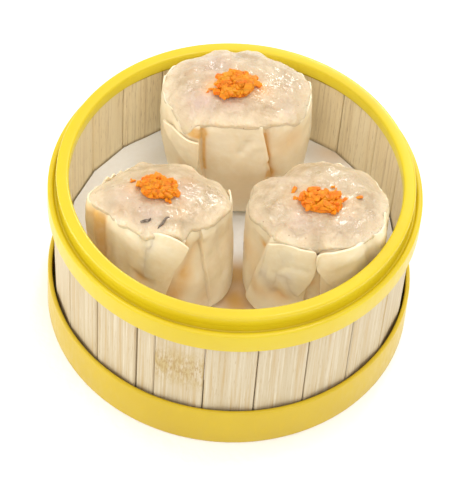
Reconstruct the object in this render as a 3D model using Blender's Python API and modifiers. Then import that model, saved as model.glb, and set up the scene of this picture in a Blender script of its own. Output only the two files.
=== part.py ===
"""Three siomay in their steamer basket: yellow rim and base, bamboo wall, paper liner, open-topped dumplings.

Units are metres, +Z is up and the origin is the middle of the basket's underside. The front of the
basket looks along -Y. Directions around the basket or a siomay are given in degrees: 0 is +X, 90 is
the back and 270 is the front.
"""
import math
import random

import bmesh
import bpy
from mathutils import Matrix, Vector, noise

GAP = 0.0003
MERGE_DISTANCE = 0.000001

# Basket
RIM_TOP = 0.0525
RIM_INNER_RADIUS = 0.0445
RIM_OUTER_RADIUS = 0.0480
RIM_LIP_UNDERSIDE = 0.0487
RIM_DRAFT = 0.0001
RIM_EDGE_ROUNDING = 0.0007
GROOVE_HEIGHT = 0.0479
SKIRT_OUTER_RADIUS = 0.0502
SKIRT_INNER_RADIUS = 0.0494
SKIRT_BOTTOM = 0.0413
SKIRT_TOP_ROUNDING = 0.0006
SKIRT_FOOT_ROUNDING = 0.0003
RIM_SEAT_HEIGHT = 0.0467
BASE_HEIGHT = 0.0136
BASE_OUTER_RADIUS = 0.0506
BASE_FLARE = 0.0002
BASE_INNER_RADIUS = 0.0494
BASE_LIP_RADIUS = 0.0448
BASE_FLOOR = 0.0020
SOFT_EDGE = 0.0005
RING_STEPS = 56

# Wall of flat bamboo boards
SLAT_OUTER = 0.0485
SLAT_THICKNESS = 0.0024
SLAT_INNER = SLAT_OUTER - SLAT_THICKNESS
SLAT_BOTTOM = BASE_FLOOR + GAP
SLAT_TOP = RIM_SEAT_HEIGHT - GAP
SLAT_GAP = 0.0003
SLAT_SOFT_EDGE = 0.00035
NARROW_SLAT_START = 242.5
NARROW_SLAT_END = 249.0
WIDE_SLATS = 22
SEAM_SHIFT = 5.5
SEAM_SHIFT_SKEW = 1.5

# Floor under the food
HOOP_OUTER_RADIUS = SLAT_INNER - GAP
HOOP_INNER_RADIUS = 0.0442
HOOP_TOP = 0.0189
HOOP_STEPS = 48
STRIP_BOTTOM = HOOP_TOP + GAP
STRIP_THICKNESS = 0.0018
STRIP_COUNT = 9
STRIP_GAP = 0.0012
STRIP_REACH = 0.0454
STRIP_END_STEPS = 4
BATTEN_WIDTH = 0.0060
BATTEN_HEIGHT = 0.0024
BATTEN_PLACE = 0.0180
BATTEN_CLEARANCE = 0.0008
LINER_BOTTOM = STRIP_BOTTOM + STRIP_THICKNESS + GAP
LINER_THICKNESS = 0.0007
FOOD_FOOT = LINER_BOTTOM + LINER_THICKNESS + GAP
LINER_EDGE_GAP = 0.00035
LINER_STEPS_PER_SLAT = 3

# Siomay
WRAPPER_THICKNESS = 0.0009
FILLING_CLEARANCE = 0.0005
FILLING_OVERHANG = 0.0009
FILLING_EASE = 5.0
FOOT_ROUNDING = 0.0032
FOLD_TOP_HEIGHT = 0.0340
SHOULDER_TUCK = 0.06
LIP_WAVE_HEIGHT = 0.0004
LIP_WAVES = 14
SINK_WIDTH = 12.0
PLEAT_RUN_OUT = 0.0120
FLAP_RUN_OUT = 0.0060
COLUMNS = 36
EDGE_HALF_WIDTH = 1.3
EDGE_SLIDE = 40.0
WRAPPER_FLOOR_SHARES = [0.0, 0.5, 0.85]
WRAPPER_WALL_SHARES = [0.0, 0.05, 0.14, 0.3, 0.48, 0.66, 0.84, 1.0]
FILLING_FLOOR_SHARES = [0.0, 0.8]
FILLING_WALL_SHARES = [0.05, 0.16, 0.5, 0.93, 1.0]
FILLING_NECK_RISE = 0.0004
FILLING_EDGE_RISE = 0.0008
FILLING_DOME_SHARES = [1.0, 0.93, 0.8, 0.6, 0.36, 0.16, 0.0]
DOME_POWER = 2.6
LUMP_SIZE = 0.0042
LUMP_HEIGHT = 0.0006

# Carrot
CARROT_COLUMNS = 14
CARROT_ROWS = 6
CARROT_CORE_SHARE = 0.9
CARROT_CORE_RISE = 0.75
CARROT_CLEARANCE = 0.00048
CARROT_LEAST_THICKNESS = 0.0002
PIECE_SPREAD = 0.85
PIECE_SIZES = (0.8, 1.15)
PIECE_TAPER = 0.7
PIECE_TILT = 0.3
PIECE_LIFT = 0.35
PIECE_LEAST_HEIGHT = 0.6
BIT_LIFT = 0.2

COLOURS = {
    "yellow_plastic": ((0.88, 0.70, 0.06), 0.35),
    "bamboo": ((0.78, 0.66, 0.42), 0.6),
    "paper": ((0.92, 0.91, 0.88), 0.8),
    "dough": ((0.83, 0.74, 0.52), 0.45),
    "meat": ((0.82, 0.66, 0.52), 0.35),
    "carrot": ((0.90, 0.26, 0.03), 0.4),
}

# A fold is the free edge of a flap of the wrapper: its direction at the foot and at the top in
# degrees, which side is raised (1 = anticlockwise, -1 = clockwise), how far it stands out, how far
# that side stays raised, and how deep the surface sinks on the other side.
# A pleat is a furrow (negative) or ridge: its direction, height and half width.
# A lip change lowers or raises the wrapper's upper edge: its direction, height and half width.
# A toe is where the foot spreads: its direction, reach and half width. The foot shift is how far the
# foot stands from under the siomay's middle.
SIOMAY = {
    "back": {
        "centre": (-0.0018, 0.0275), "half_x": 0.0210, "half_y": 0.0162, "turn": 0.0, "squareness": 2.3,
        "foot": 0.82, "belly_height": 0.0260, "lip": 0.0335, "slope": 0.150, "dome": 0.0042,
        "foot_shift": (0.0015, -0.0034), "toes": [(280, 0.0006, 30)],
        "folds": [(243, 239, -1, 0.0015, 30, 0.0006), (318, 297, -1, 0.0012, 42, 0.0008)],
        "pleats": [(212, -0.0008, 7), (285, -0.0005, 10), (20, -0.0007, 8), (60, -0.0007, 7),
                   (95, -0.0008, 7), (130, -0.0007, 8), (165, -0.0007, 7)],
        "lip_changes": [(226, -0.0058, 19), (335, -0.0034, 16), (196, -0.0012, 8)],
        "low_spots": [(215, -0.0018, 30)],
        "carrot": {"centre": (-0.0022, 0.0230), "size": (0.0064, 0.0052), "height": 0.0021,
                   "piece": (0.0034, 0.0018, 0.0012), "pieces": 13, "seed": 5},
        "bits": [(-0.0096, 0.0224, 0.0009)],
    },
    "left": {
        "centre": (-0.0193, -0.0125), "half_x": 0.0172, "half_y": 0.0137, "turn": -35.0, "squareness": 3.0,
        "foot": 0.98, "belly_height": 0.0240, "lip": 0.0314, "slope": 0.215, "dome": 0.0046,
        "foot_shift": (0.0008, -0.0026), "toes": [(343, 0.0018, 24)],
        "folds": [(268, 302, -1, 0.0020, 42, 0.0012), (330, 317, 1, 0.0012, 30, 0.0008)],
        "pleats": [(206, -0.0011, 5), (217, -0.0010, 5), (196, -0.0006, 5), (20, 0.0006, 8), (60, -0.0008, 7),
                   (92, -0.0009, 7), (125, -0.0008, 7), (160, -0.0008, 7)],
        "lip_changes": [(259, -0.0019, 5), (300, -0.0022, 5), (16, 0.0010, 8), (285, 0.0006, 10)],
        "low_spots": [],
        "carrot": {"centre": (-0.0197, -0.0137), "size": (0.0060, 0.0048), "height": 0.0024,
                   "piece": (0.0028, 0.0020, 0.0015), "pieces": 15, "seed": 14},
        "bits": [(-0.0272, -0.0106, 0.0008), (-0.0224, -0.0239, 0.0010), (-0.0180, -0.0246, 0.0009)],
    },
    "right": {
        "centre": (0.0222, -0.0094), "half_x": 0.0188, "half_y": 0.0174, "turn": 0.0, "squareness": 2.4,
        "foot": 0.93, "belly_height": 0.0240, "lip": 0.0312, "slope": 0.170, "dome": 0.0047,
        "foot_shift": (-0.0008, -0.0020), "toes": [],
        "folds": [(206, 229, 1, 0.0012, 34, 0.0012), (262, 269, -1, 0.0010, 30, 0.0007),
                  (284, 271, 1, 0.0010, 30, 0.0005)],
        "pleats": [(238, -0.0006, 9), (320, -0.0009, 8), (350, -0.0007, 8), (25, -0.0008, 8),
                   (62, -0.0008, 7), (98, -0.0008, 7), (170, -0.0007, 7)],
        "lip_changes": [(270, -0.0019, 5), (138, -0.0036, 24), (300, 0.0006, 14)],
        "low_spots": [(138, -0.0032, 24)],
        "carrot": {"centre": (0.0226, -0.0138), "size": (0.0070, 0.0046), "height": 0.0019,
                   "piece": (0.0050, 0.0025, 0.0018), "pieces": 12, "seed": 23},
        "bits": [(0.0148, -0.0094, 0.0010), (0.0262, -0.0068, 0.0008), (0.0326, -0.0102, 0.0007)],
    },
}


def clear_scene():
    for obj in list(bpy.data.objects):
        bpy.data.objects.remove(obj, do_unlink=True)


def new_collection(name):
    collection = bpy.data.collections.new(name)
    bpy.context.scene.collection.children.link(collection)
    return collection


def make_material(name):
    colour, roughness = COLOURS[name]
    material = bpy.data.materials.new(name)
    material.use_nodes = True
    shader = material.node_tree.nodes["Principled BSDF"]
    shader.inputs["Base Color"].default_value = (*colour, 1.0)
    shader.inputs["Roughness"].default_value = roughness
    shader.inputs["Metallic"].default_value = 0.0
    return material


def add_object(name, mesh, collection, material):
    obj = bpy.data.objects.new(name, mesh)
    collection.objects.link(obj)
    mesh.materials.append(material)
    return obj


def mesh_from(bm, name, smooth_angle=None):
    """Turn a finished bmesh into a mesh, with normals outwards."""
    bmesh.ops.recalc_face_normals(bm, faces=bm.faces)
    mesh = bpy.data.meshes.new(name)
    bm.to_mesh(mesh)
    bm.free()
    if smooth_angle is not None:
        mesh.shade_smooth()
        mesh.set_sharp_from_angle(angle=math.radians(smooth_angle))
    return mesh


def round_corner(corner, before, after, radius, steps=3):
    """Points of a small arc that replaces one corner of an outline."""
    corner, before, after = Vector(corner), Vector(before), Vector(after)
    start = corner + (before - corner).normalized() * radius
    end = corner + (after - corner).normalized() * radius
    points = []
    for i in range(steps):
        t = i / (steps - 1)
        points.append(tuple(start * (1 - t) ** 2 + corner * 2 * t * (1 - t) + end * t ** 2))
    return points


def turned_ring(name, outline, steps, collection, material):
    """A ring turned about Z from a closed outline of (radius, height, corner rounding) points."""
    points = []
    for i, (radius, height, rounding) in enumerate(outline):
        before = outline[i - 1][:2]
        after = outline[(i + 1) % len(outline)][:2]
        if rounding > 0:
            points += round_corner((radius, height), before, after, rounding)
        else:
            points.append((radius, height))
    mesh = bpy.data.meshes.new(name)
    edges = [(i, (i + 1) % len(points)) for i in range(len(points))]
    mesh.from_pydata([(radius, 0.0, height) for radius, height in points], edges, [])
    obj = add_object(name, mesh, collection, material)
    screw = obj.modifiers.new("turn", "SCREW")
    screw.axis = "Z"
    screw.angle = math.tau
    screw.steps = steps
    screw.render_steps = steps
    screw.use_merge_vertices = True
    screw.merge_threshold = MERGE_DISTANCE
    screw.use_smooth_shade = False
    return obj


def build_rim(collection, material):
    """The yellow top ring with its wider skirt, which covers the ends of the boards."""
    outline = [
        (RIM_OUTER_RADIUS - RIM_DRAFT, RIM_TOP, RIM_EDGE_ROUNDING),
        (RIM_OUTER_RADIUS, GROOVE_HEIGHT, 0.0),
        (SKIRT_OUTER_RADIUS, GROOVE_HEIGHT - RIM_DRAFT, SKIRT_TOP_ROUNDING),
        (SKIRT_OUTER_RADIUS + RIM_DRAFT, SKIRT_BOTTOM, SKIRT_FOOT_ROUNDING),
        (SKIRT_INNER_RADIUS, SKIRT_BOTTOM, 0.0),
        (SKIRT_INNER_RADIUS, RIM_SEAT_HEIGHT, 0.0),
        (SLAT_INNER - RIM_DRAFT, RIM_SEAT_HEIGHT, 0.0),
        (SLAT_INNER - RIM_DRAFT, RIM_LIP_UNDERSIDE, 0.0),
        (RIM_INNER_RADIUS, RIM_LIP_UNDERSIDE, 0.0),
        (RIM_INNER_RADIUS, RIM_TOP, SOFT_EDGE),
    ]
    return turned_ring("rim_ring", outline, RING_STEPS, collection, material)


def build_base(collection, material):
    """The yellow base ring: a plain side wall, a ledge round the boards and a flat foot."""
    outline = [
        (BASE_OUTER_RADIUS, BASE_HEIGHT, SOFT_EDGE),
        (BASE_OUTER_RADIUS + BASE_FLARE, 0.0, SOFT_EDGE),
        (BASE_LIP_RADIUS, 0.0, 0.0),
        (BASE_LIP_RADIUS, BASE_FLOOR, 0.0),
        (BASE_INNER_RADIUS, BASE_FLOOR, 0.0),
        (BASE_INNER_RADIUS, BASE_HEIGHT, 0.0),
    ]
    return turned_ring("base_ring", outline, RING_STEPS, collection, material)


def build_hoop(collection, material):
    """The inner bamboo hoop that carries the floor."""
    outline = [
        (HOOP_OUTER_RADIUS, HOOP_TOP, 0.0),
        (HOOP_OUTER_RADIUS, SLAT_BOTTOM, 0.0),
        (HOOP_INNER_RADIUS, SLAT_BOTTOM, 0.0),
        (HOOP_INNER_RADIUS, HOOP_TOP, 0.0),
    ]
    return turned_ring("floor_hoop", outline, HOOP_STEPS, collection, material)


def seam_angle(number):
    """Direction of a seam between two boards, in degrees; the boards differ a little in width."""
    even = (NARROW_SLAT_START + 360.0 - NARROW_SLAT_END) / WIDE_SLATS
    shift = SEAM_SHIFT * math.sin(math.pi * (number / WIDE_SLATS) ** SEAM_SHIFT_SKEW) ** 2
    return NARROW_SLAT_END + even * number + shift


def slat_spans():
    """Start and end direction of every board, the narrow one last."""
    spans = [(seam_angle(k), seam_angle(k + 1)) for k in range(WIDE_SLATS)]
    spans.append((NARROW_SLAT_START, NARROW_SLAT_END))
    return spans


def build_slats(collection, material):
    """The wall: flat upright boards side by side, each with its long edges softened."""
    slats = []
    for number, (start, end) in enumerate(slat_spans(), 1):
        half_angle = math.radians(end - start) / 2
        bm = bmesh.new()
        bmesh.ops.create_cube(bm, size=1.0)
        for vert in bm.verts:
            distance = SLAT_OUTER if vert.co.x > 0 else SLAT_INNER
            half_width = distance * math.tan(half_angle) - SLAT_GAP / 2
            height = SLAT_TOP if vert.co.z > 0 else SLAT_BOTTOM
            vert.co = (distance, math.copysign(half_width, vert.co.y), height)
        upright = [e for e in bm.edges if abs(e.verts[0].co.z - e.verts[1].co.z) > SLAT_THICKNESS]
        bmesh.ops.bevel(bm, geom=upright, offset=SLAT_SOFT_EDGE, segments=1, affect="EDGES")
        slat = add_object(f"slat_{number:02d}", mesh_from(bm, f"slat_{number:02d}"), collection, material)
        slat.rotation_euler.z = math.radians((start + end) / 2)
        slats.append(slat)
    return slats


def flat_board(name, outline, bottom, thickness, collection, material):
    """A board cut from a flat outline."""
    curve = bpy.data.curves.new(name, "CURVE")
    curve.dimensions = "2D"
    curve.fill_mode = "BOTH"
    curve.extrude = thickness / 2
    spline = curve.splines.new("POLY")
    spline.points.add(len(outline) - 1)
    for point, (x, y) in zip(spline.points, outline):
        point.co = (x, y, 0.0, 1.0)
    spline.use_cyclic_u = True
    obj = bpy.data.objects.new(name, curve)
    collection.objects.link(obj)
    curve.materials.append(material)
    obj.location.z = bottom + thickness / 2
    return obj


def build_floor(collection, material):
    """Nine strips laid across the hoop, held together by two battens underneath."""
    width = (2 * STRIP_REACH - (STRIP_COUNT - 1) * STRIP_GAP) / STRIP_COUNT
    for number in range(STRIP_COUNT):
        left = -STRIP_REACH + number * (width + STRIP_GAP)
        arc = []
        for step in range(STRIP_END_STEPS + 1):
            x = left + width * step / STRIP_END_STEPS
            arc.append((x, math.sqrt(max(STRIP_REACH ** 2 - x ** 2, 0.0)) + SLAT_GAP))
        outline = arc[::-1] + [(x, -y) for x, y in arc]
        flat_board(f"floor_strip_{number + 1}", outline, STRIP_BOTTOM, STRIP_THICKNESS, collection, material)
    for number, side in enumerate((-1, 1), 1):
        outer = BATTEN_PLACE + BATTEN_WIDTH / 2
        reach = math.sqrt((HOOP_INNER_RADIUS - BATTEN_CLEARANCE) ** 2 - outer ** 2)
        y = side * BATTEN_PLACE
        half = BATTEN_WIDTH / 2
        outline = [(-reach, y - half), (reach, y - half), (reach, y + half), (-reach, y + half)]
        bottom = HOOP_TOP - BATTEN_HEIGHT
        flat_board(f"floor_batten_{number}", outline, bottom, BATTEN_HEIGHT, collection, material)


def build_liner(collection, material):
    """The paper disc under the food, trimmed to the flat boards round it."""
    spans = slat_spans()
    reach = SLAT_INNER - LINER_EDGE_GAP
    outline = []
    for start, end in spans:
        for step in range(LINER_STEPS_PER_SLAT):
            angle = start + (end - start) * step / LINER_STEPS_PER_SLAT
            from_middle = math.radians(angle - (start + end) / 2)
            radius = reach / math.cos(from_middle)
            outline.append((angle % 360, radius))
    outline.sort()
    points = [(r * math.cos(math.radians(a)), r * math.sin(math.radians(a))) for a, r in outline]
    return flat_board("liner", points, LINER_BOTTOM, LINER_THICKNESS, collection, material)


def bell(angle, centre, width):
    """A soft bump of height 1 at one direction."""
    away = (angle - centre + 180.0) % 360.0 - 180.0
    return math.exp(-((away / width) ** 2))


def fold_direction(fold, height):
    """Direction of a flap's free edge at a height: it leans from foot to top."""
    foot, top = fold[0], fold[1]
    return foot + (top - foot) * min(height / FOLD_TOP_HEIGHT, 1.0)


def belly_radius(s, angle):
    """Outline of a siomay seen from above: a soft rounded square, longer one way."""
    x = math.cos(math.radians(angle)) / s["half_x"]
    y = math.sin(math.radians(angle)) / s["half_y"]
    turn = math.radians(s["turn"])
    along = abs(x * math.cos(turn) + y * math.sin(turn))
    across = abs(-x * math.sin(turn) + y * math.cos(turn))
    power = s["squareness"]
    return (along ** power + across ** power) ** (-1.0 / power)


def middle_of(s, height):
    """Where the siomay's middle lies at a height: its foot stands a little forward of its top."""
    share = 1.0 - min(height / s["belly_height"], 1.0)
    return s["centre"][0] + s["foot_shift"][0] * share, s["centre"][1] + s["foot_shift"][1] * share


def toe_relief(s, angle, height):
    """How far the foot spreads in some directions: it runs out towards the belly."""
    share = 1.0 - min(height / s["belly_height"], 1.0)
    return sum(reach * bell(angle, centre, width) * share for centre, reach, width in s["toes"])


def pleat_relief(s, angle, height):
    """How far the soft furrows and ridges stand out: they run out towards the foot."""
    rise = min(height / PLEAT_RUN_OUT, 1.0)
    return sum(depth * bell(angle, centre, width) * rise for centre, depth, width in s["pleats"])


def flap_relief(s, angle, height):
    """How far the flaps stand out on one side of their free edges, and the dough beside them sinks."""
    relief = 0.0
    for fold in s["folds"]:
        _, _, side, lift, reach, sink = fold
        edge = fold_direction(fold, height)
        away = (angle - edge + 180.0) % 360.0 - 180.0
        if away * side >= 0:
            relief += lift * bell(angle, edge, reach)
        else:
            relief -= sink * bell(angle, edge, SINK_WIDTH)
    return relief * min(height / FLAP_RUN_OUT, 1.0)


def plain_radius(s, angle, height):
    """Radius of a siomay without its folds at a direction and a height over the liner."""
    rise = min(height / s["belly_height"], 1.0)
    share = s["foot"] + (1.0 - s["foot"]) * math.sin(rise * math.pi / 2)
    over = max(height / s["belly_height"] - 1.0, 0.0)
    radius = belly_radius(s, angle) * (share - SHOULDER_TUCK * over ** 2)
    if height < FOOT_ROUNDING:
        radius -= FOOT_ROUNDING - math.sqrt(FOOT_ROUNDING ** 2 - (FOOT_ROUNDING - height) ** 2)
    return radius + pleat_relief(s, angle, height) + toe_relief(s, angle, height)


def wall_radius(s, angle, height):
    """Radius of the wrapper's outer face at a direction and a height over the liner."""
    return plain_radius(s, angle, height) + flap_relief(s, angle, height)


def filling_radius(s, angle, height):
    """Radius of the filling inside the cup: it lies back from the flaps and gives way beside them."""
    radius = plain_radius(s, angle, height) - WRAPPER_THICKNESS - FILLING_CLEARANCE
    for fold in s["folds"]:
        radius -= fold[5] * bell(angle, fold_direction(fold, height), SINK_WIDTH + FILLING_EASE)
    return radius


def lip_height(s, angle):
    """Height of the wrapper's upper edge over the liner."""
    y = belly_radius(s, angle) * math.sin(math.radians(angle))
    height = s["lip"] - s["slope"] * y
    for centre, change, width in s["lip_changes"]:
        height += change * bell(angle, centre, width)
    return height + LIP_WAVE_HEIGHT * math.sin(math.radians(angle * LIP_WAVES))


def dome_share(s, x, y):
    """How far out on the top a place lies: 0 in the siomay's middle, 1 at its edge."""
    edge = belly_radius(s, math.degrees(math.atan2(y, x))) - FILLING_CLEARANCE
    return min(math.hypot(x, y) / edge, 1.0)


def top_height(s, x, y, share):
    """Height of the filling's domed top over the liner, at a place measured from the siomay's middle."""
    angle = math.degrees(math.atan2(y, x)) % 360
    height = s["lip"] + FILLING_EDGE_RISE - s["slope"] * y
    height += s["dome"] * math.sqrt(max(1.0 - share ** DOME_POWER, 0.0))
    for centre, depth, width in s["low_spots"]:
        height += depth * bell(angle, centre, width) * share ** 3
    cx, cy = s["centre"]
    where = Vector((x + cx, y + cy, 0.0)) / LUMP_SIZE
    return height + LUMP_HEIGHT * noise.noise(where) * math.sqrt(max(1.0 - share ** 4, 0.0))


def column_angles(s, height):
    """Directions of the mesh columns: even, but drawn in on both sides of each flap's free edge."""
    spacing = 360.0 / COLUMNS
    angles = [spacing * i for i in range(COLUMNS)]
    for fold in s["folds"]:
        middle = fold_direction(fold, FOLD_TOP_HEIGHT / 2)
        before = int(middle // spacing) % COLUMNS
        after = (before + 1) % COLUMNS
        angles[before] = middle - EDGE_HALF_WIDTH
        angles[after] = middle + EDGE_HALF_WIDTH
    slid = []
    for angle in angles:
        slide = 0.0
        for fold in s["folds"]:
            middle = fold_direction(fold, FOLD_TOP_HEIGHT / 2)
            slide += (fold_direction(fold, height) - middle) * bell(angle, middle, EDGE_SLIDE)
        slid.append(angle + slide)
    return slid


def sphere_rows(columns, rows):
    """A UV sphere whose vertices know their row, from the foot up, and their column."""
    bm = bmesh.new()
    bmesh.ops.create_uvsphere(bm, u_segments=columns, v_segments=rows, radius=1.0)
    places = {}
    for vert in bm.verts:
        row = round((math.asin(max(-1.0, min(1.0, vert.co.z))) / math.pi + 0.5) * rows)
        column = round(math.atan2(vert.co.y, vert.co.x) / math.tau * columns) % columns
        places[vert] = (row, column)
    return bm, places


def build_wrapper(name, s, collection, material):
    """The dough cup: an open surface with flaps and pleats, given its thickness inwards."""
    shares = WRAPPER_FLOOR_SHARES + WRAPPER_WALL_SHARES
    rows = len(shares)
    bm, places = sphere_rows(COLUMNS, rows)
    top = [vert for vert, (row, _) in places.items() if row == rows]
    bmesh.ops.delete(bm, geom=top, context="VERTS")
    for vert, (row, column) in places.items():
        if row == rows:
            continue
        if row < len(WRAPPER_FLOOR_SHARES):
            height = 0.0
            angle = column_angles(s, 0.0)[column]
            radius = wall_radius(s, angle, 0.0) * shares[row]
        else:
            even = 360.0 / COLUMNS * column
            height = lip_height(s, even) * shares[row]
            angle = column_angles(s, height)[column]
            height = lip_height(s, angle) * shares[row]
            radius = wall_radius(s, angle, height)
        turn = math.radians(angle)
        cx, cy = middle_of(s, height)
        vert.co = (cx + radius * math.cos(turn), cy + radius * math.sin(turn), FOOD_FOOT + height)
    obj = add_object(name, mesh_from(bm, name, 50), collection, material)
    solidify = obj.modifiers.new("dough thickness", "SOLIDIFY")
    solidify.thickness = WRAPPER_THICKNESS
    solidify.offset = -1.0
    return obj


def build_filling(name, s, collection, material):
    """The meat: it fills the cup and stands up out of it in a low dome."""
    shares = FILLING_FLOOR_SHARES + FILLING_WALL_SHARES + FILLING_DOME_SHARES
    rows = len(shares) - 1
    walls = len(FILLING_FLOOR_SHARES)
    domes = walls + len(FILLING_WALL_SHARES)
    neck = domes - 1
    inset = WRAPPER_THICKNESS + FILLING_CLEARANCE
    bm, places = sphere_rows(COLUMNS, rows)
    for vert, (row, column) in places.items():
        even = 360.0 / COLUMNS * column
        if row < domes:
            share = shares[row] if row >= walls else 0.0
            height = inset + (lip_height(s, even) - inset) * share
            if row == neck:
                height = lip_height(s, even) + FILLING_NECK_RISE
            angle = column_angles(s, height)[column]
            radius = filling_radius(s, angle, height)
            if row < walls:
                radius = (radius - FOOT_ROUNDING / 2) * shares[row]
            turn = math.radians(angle)
            x, y = radius * math.cos(turn), radius * math.sin(turn)
        else:
            lip = lip_height(s, even)
            angle = column_angles(s, lip)[column]
            edge = filling_radius(s, angle, lip) + FILLING_OVERHANG
            turn = math.radians(angle)
            x = edge * shares[row] * math.cos(turn)
            y = edge * shares[row] * math.sin(turn)
            height = top_height(s, x, y, shares[row])
        cx, cy = middle_of(s, height)
        vert.co = (cx + x, cy + y, FOOD_FOOT + height)
    obj = add_object(name, mesh_from(bm, name, 60), collection, material)
    return obj


def surface_height(s, x, y):
    """World height of the filling's top at a world place."""
    x -= s["centre"][0]
    y -= s["centre"][1]
    return FOOD_FOOT + top_height(s, x, y, dome_share(s, x, y))


def carrot_piece(name, size, rng, collection, material):
    """One grated piece: a short block, narrower at one end."""
    length, width, height = (side * rng.uniform(*PIECE_SIZES) for side in size)
    bm = bmesh.new()
    bmesh.ops.create_cube(bm, size=1.0)
    for vert in bm.verts:
        narrow = PIECE_TAPER if vert.co.x > 0 else 1.0
        vert.co = (vert.co.x * length, vert.co.y * width * narrow, vert.co.z * height * narrow)
    return add_object(name, mesh_from(bm, name), collection, material)


def build_carrot(name, s, collection, pieces_collection, material):
    """The heap of grated carrot: a low core with the pieces that show fused on."""
    heap = s["carrot"]
    rng = random.Random(heap["seed"])
    cx, cy = heap["centre"]
    half_x, half_y = heap["size"]
    piece_height = heap["piece"][2]
    core_height = heap["height"] * CARROT_CORE_RISE
    bm, places = sphere_rows(CARROT_COLUMNS, CARROT_ROWS)
    for vert in places:
        x = cx + vert.co.x * half_x * CARROT_CORE_SHARE
        y = cy + vert.co.y * half_y * CARROT_CORE_SHARE
        rise = core_height * max(vert.co.z, 0.0)
        if places[vert][0] >= CARROT_ROWS / 2:
            rise += CARROT_LEAST_THICKNESS
        vert.co = (x, y, surface_height(s, x, y) + CARROT_CLEARANCE + rise)
    core = add_object(name, mesh_from(bm, name), collection, material)
    golden = math.pi * (3 - math.sqrt(5))
    for number in range(heap["pieces"]):
        piece = carrot_piece(f"{name}_piece_{number}", heap["piece"], rng, pieces_collection, material)
        share = math.sqrt((number + 0.5) / heap["pieces"])
        x = cx + half_x * share * PIECE_SPREAD * math.cos(number * golden)
        y = cy + half_y * share * PIECE_SPREAD * math.sin(number * golden)
        rise = core_height * math.sqrt(1 - share ** 2 * CARROT_CORE_SHARE)
        turn = Matrix.Rotation(rng.uniform(0, math.tau), 4, "Z")
        tilt = Matrix.Rotation(rng.uniform(-PIECE_TILT, PIECE_TILT), 4, "Y")
        place = Matrix.Translation((x, y, surface_height(s, x, y) + GAP + rise + piece_height * PIECE_LIFT))
        for vert in piece.data.vertices:
            point = place @ turn @ tilt @ vert.co
            lift = piece_height * PIECE_LEAST_HEIGHT if vert.co.z > 0 else 0.0
            point.z = max(point.z, surface_height(s, point.x, point.y) + CARROT_CLEARANCE + lift)
            vert.co = point
    fuse(core, pieces_collection)
    return core


def add_bits(filling, s, pieces_collection, material):
    """Small stray bits that lie in the filling's surface, fused to it."""
    for number, (x, y, size) in enumerate(s["bits"]):
        bm = bmesh.new()
        bmesh.ops.create_icosphere(bm, subdivisions=1, radius=size)
        place = Matrix.Translation((x, y, surface_height(s, x, y) + size * BIT_LIFT))
        bmesh.ops.transform(bm, matrix=place, verts=bm.verts)
        bit = f"{filling.name}_bit_{number}"
        add_object(bit, mesh_from(bm, bit), pieces_collection, material)
    fuse(filling, pieces_collection)


def keep_outer_body(mesh):
    """Fill the hollows that fusing sealed and drop loose scraps: only the largest shell stays."""
    bm = bmesh.new()
    bm.from_mesh(mesh)
    bmesh.ops.remove_doubles(bm, verts=bm.verts, dist=MERGE_DISTANCE)
    unseen = set(bm.verts)
    shells = []
    while unseen:
        shell = [unseen.pop()]
        for vert in shell:
            for edge in vert.link_edges:
                other = edge.other_vert(vert)
                if other in unseen:
                    unseen.remove(other)
                    shell.append(other)
        size = sum((max(axis) - min(axis)) for axis in zip(*(vert.co for vert in shell)))
        shells.append((size, shell))
    shells.sort(key=lambda entry: entry[0])
    for _, shell in shells[:-1]:
        bmesh.ops.delete(bm, geom=shell, context="VERTS")
    bm.to_mesh(mesh)
    bm.free()


def fuse(obj, pieces_collection):
    """Join every object of a collection to one object, keep the joined mesh and empty the collection."""
    union = obj.modifiers.new("fuse", "BOOLEAN")
    union.operation = "UNION"
    union.operand_type = "COLLECTION"
    union.collection = pieces_collection
    union.solver = "EXACT"
    graph = bpy.context.evaluated_depsgraph_get()
    joined = bpy.data.meshes.new_from_object(obj.evaluated_get(graph))
    obj.modifiers.remove(union)
    keep_outer_body(joined)
    obj.data = joined
    for piece in list(pieces_collection.objects):
        bpy.data.objects.remove(piece, do_unlink=True)


def build():
    clear_scene()
    parts = new_collection("siomay_in_steamer_basket")
    pieces = new_collection("pieces_to_fuse")
    materials = {name: make_material(name) for name in COLOURS}
    build_rim(parts, materials["yellow_plastic"])
    build_base(parts, materials["yellow_plastic"])
    build_slats(parts, materials["bamboo"])
    build_hoop(parts, materials["bamboo"])
    build_floor(parts, materials["bamboo"])
    build_liner(parts, materials["paper"])
    for side, siomay in SIOMAY.items():
        build_wrapper(f"wrapper_{side}", siomay, parts, materials["dough"])
        filling = build_filling(f"filling_{side}", siomay, parts, materials["meat"])
        add_bits(filling, siomay, pieces, materials["meat"])
        build_carrot(f"carrot_{side}", siomay, parts, pieces, materials["carrot"])


build()
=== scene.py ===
# %% [markdown]
# # Three siomay in a small steamer basket
#
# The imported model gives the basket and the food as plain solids. This script dresses them: it keeps the
# solids whose shape is already right and gives them a better finish, and it replaces the others with finer
# meshes in the same places. It starts by loading the model as a fixed frame, so every size below is in
# metres, +Z is up, and directions are in degrees, with 0 along +X, 90 at the back and 270 at the front.

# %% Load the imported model
import math
import random

import bpy
import numpy as np
from mathutils import Matrix, Vector, noise


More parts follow.
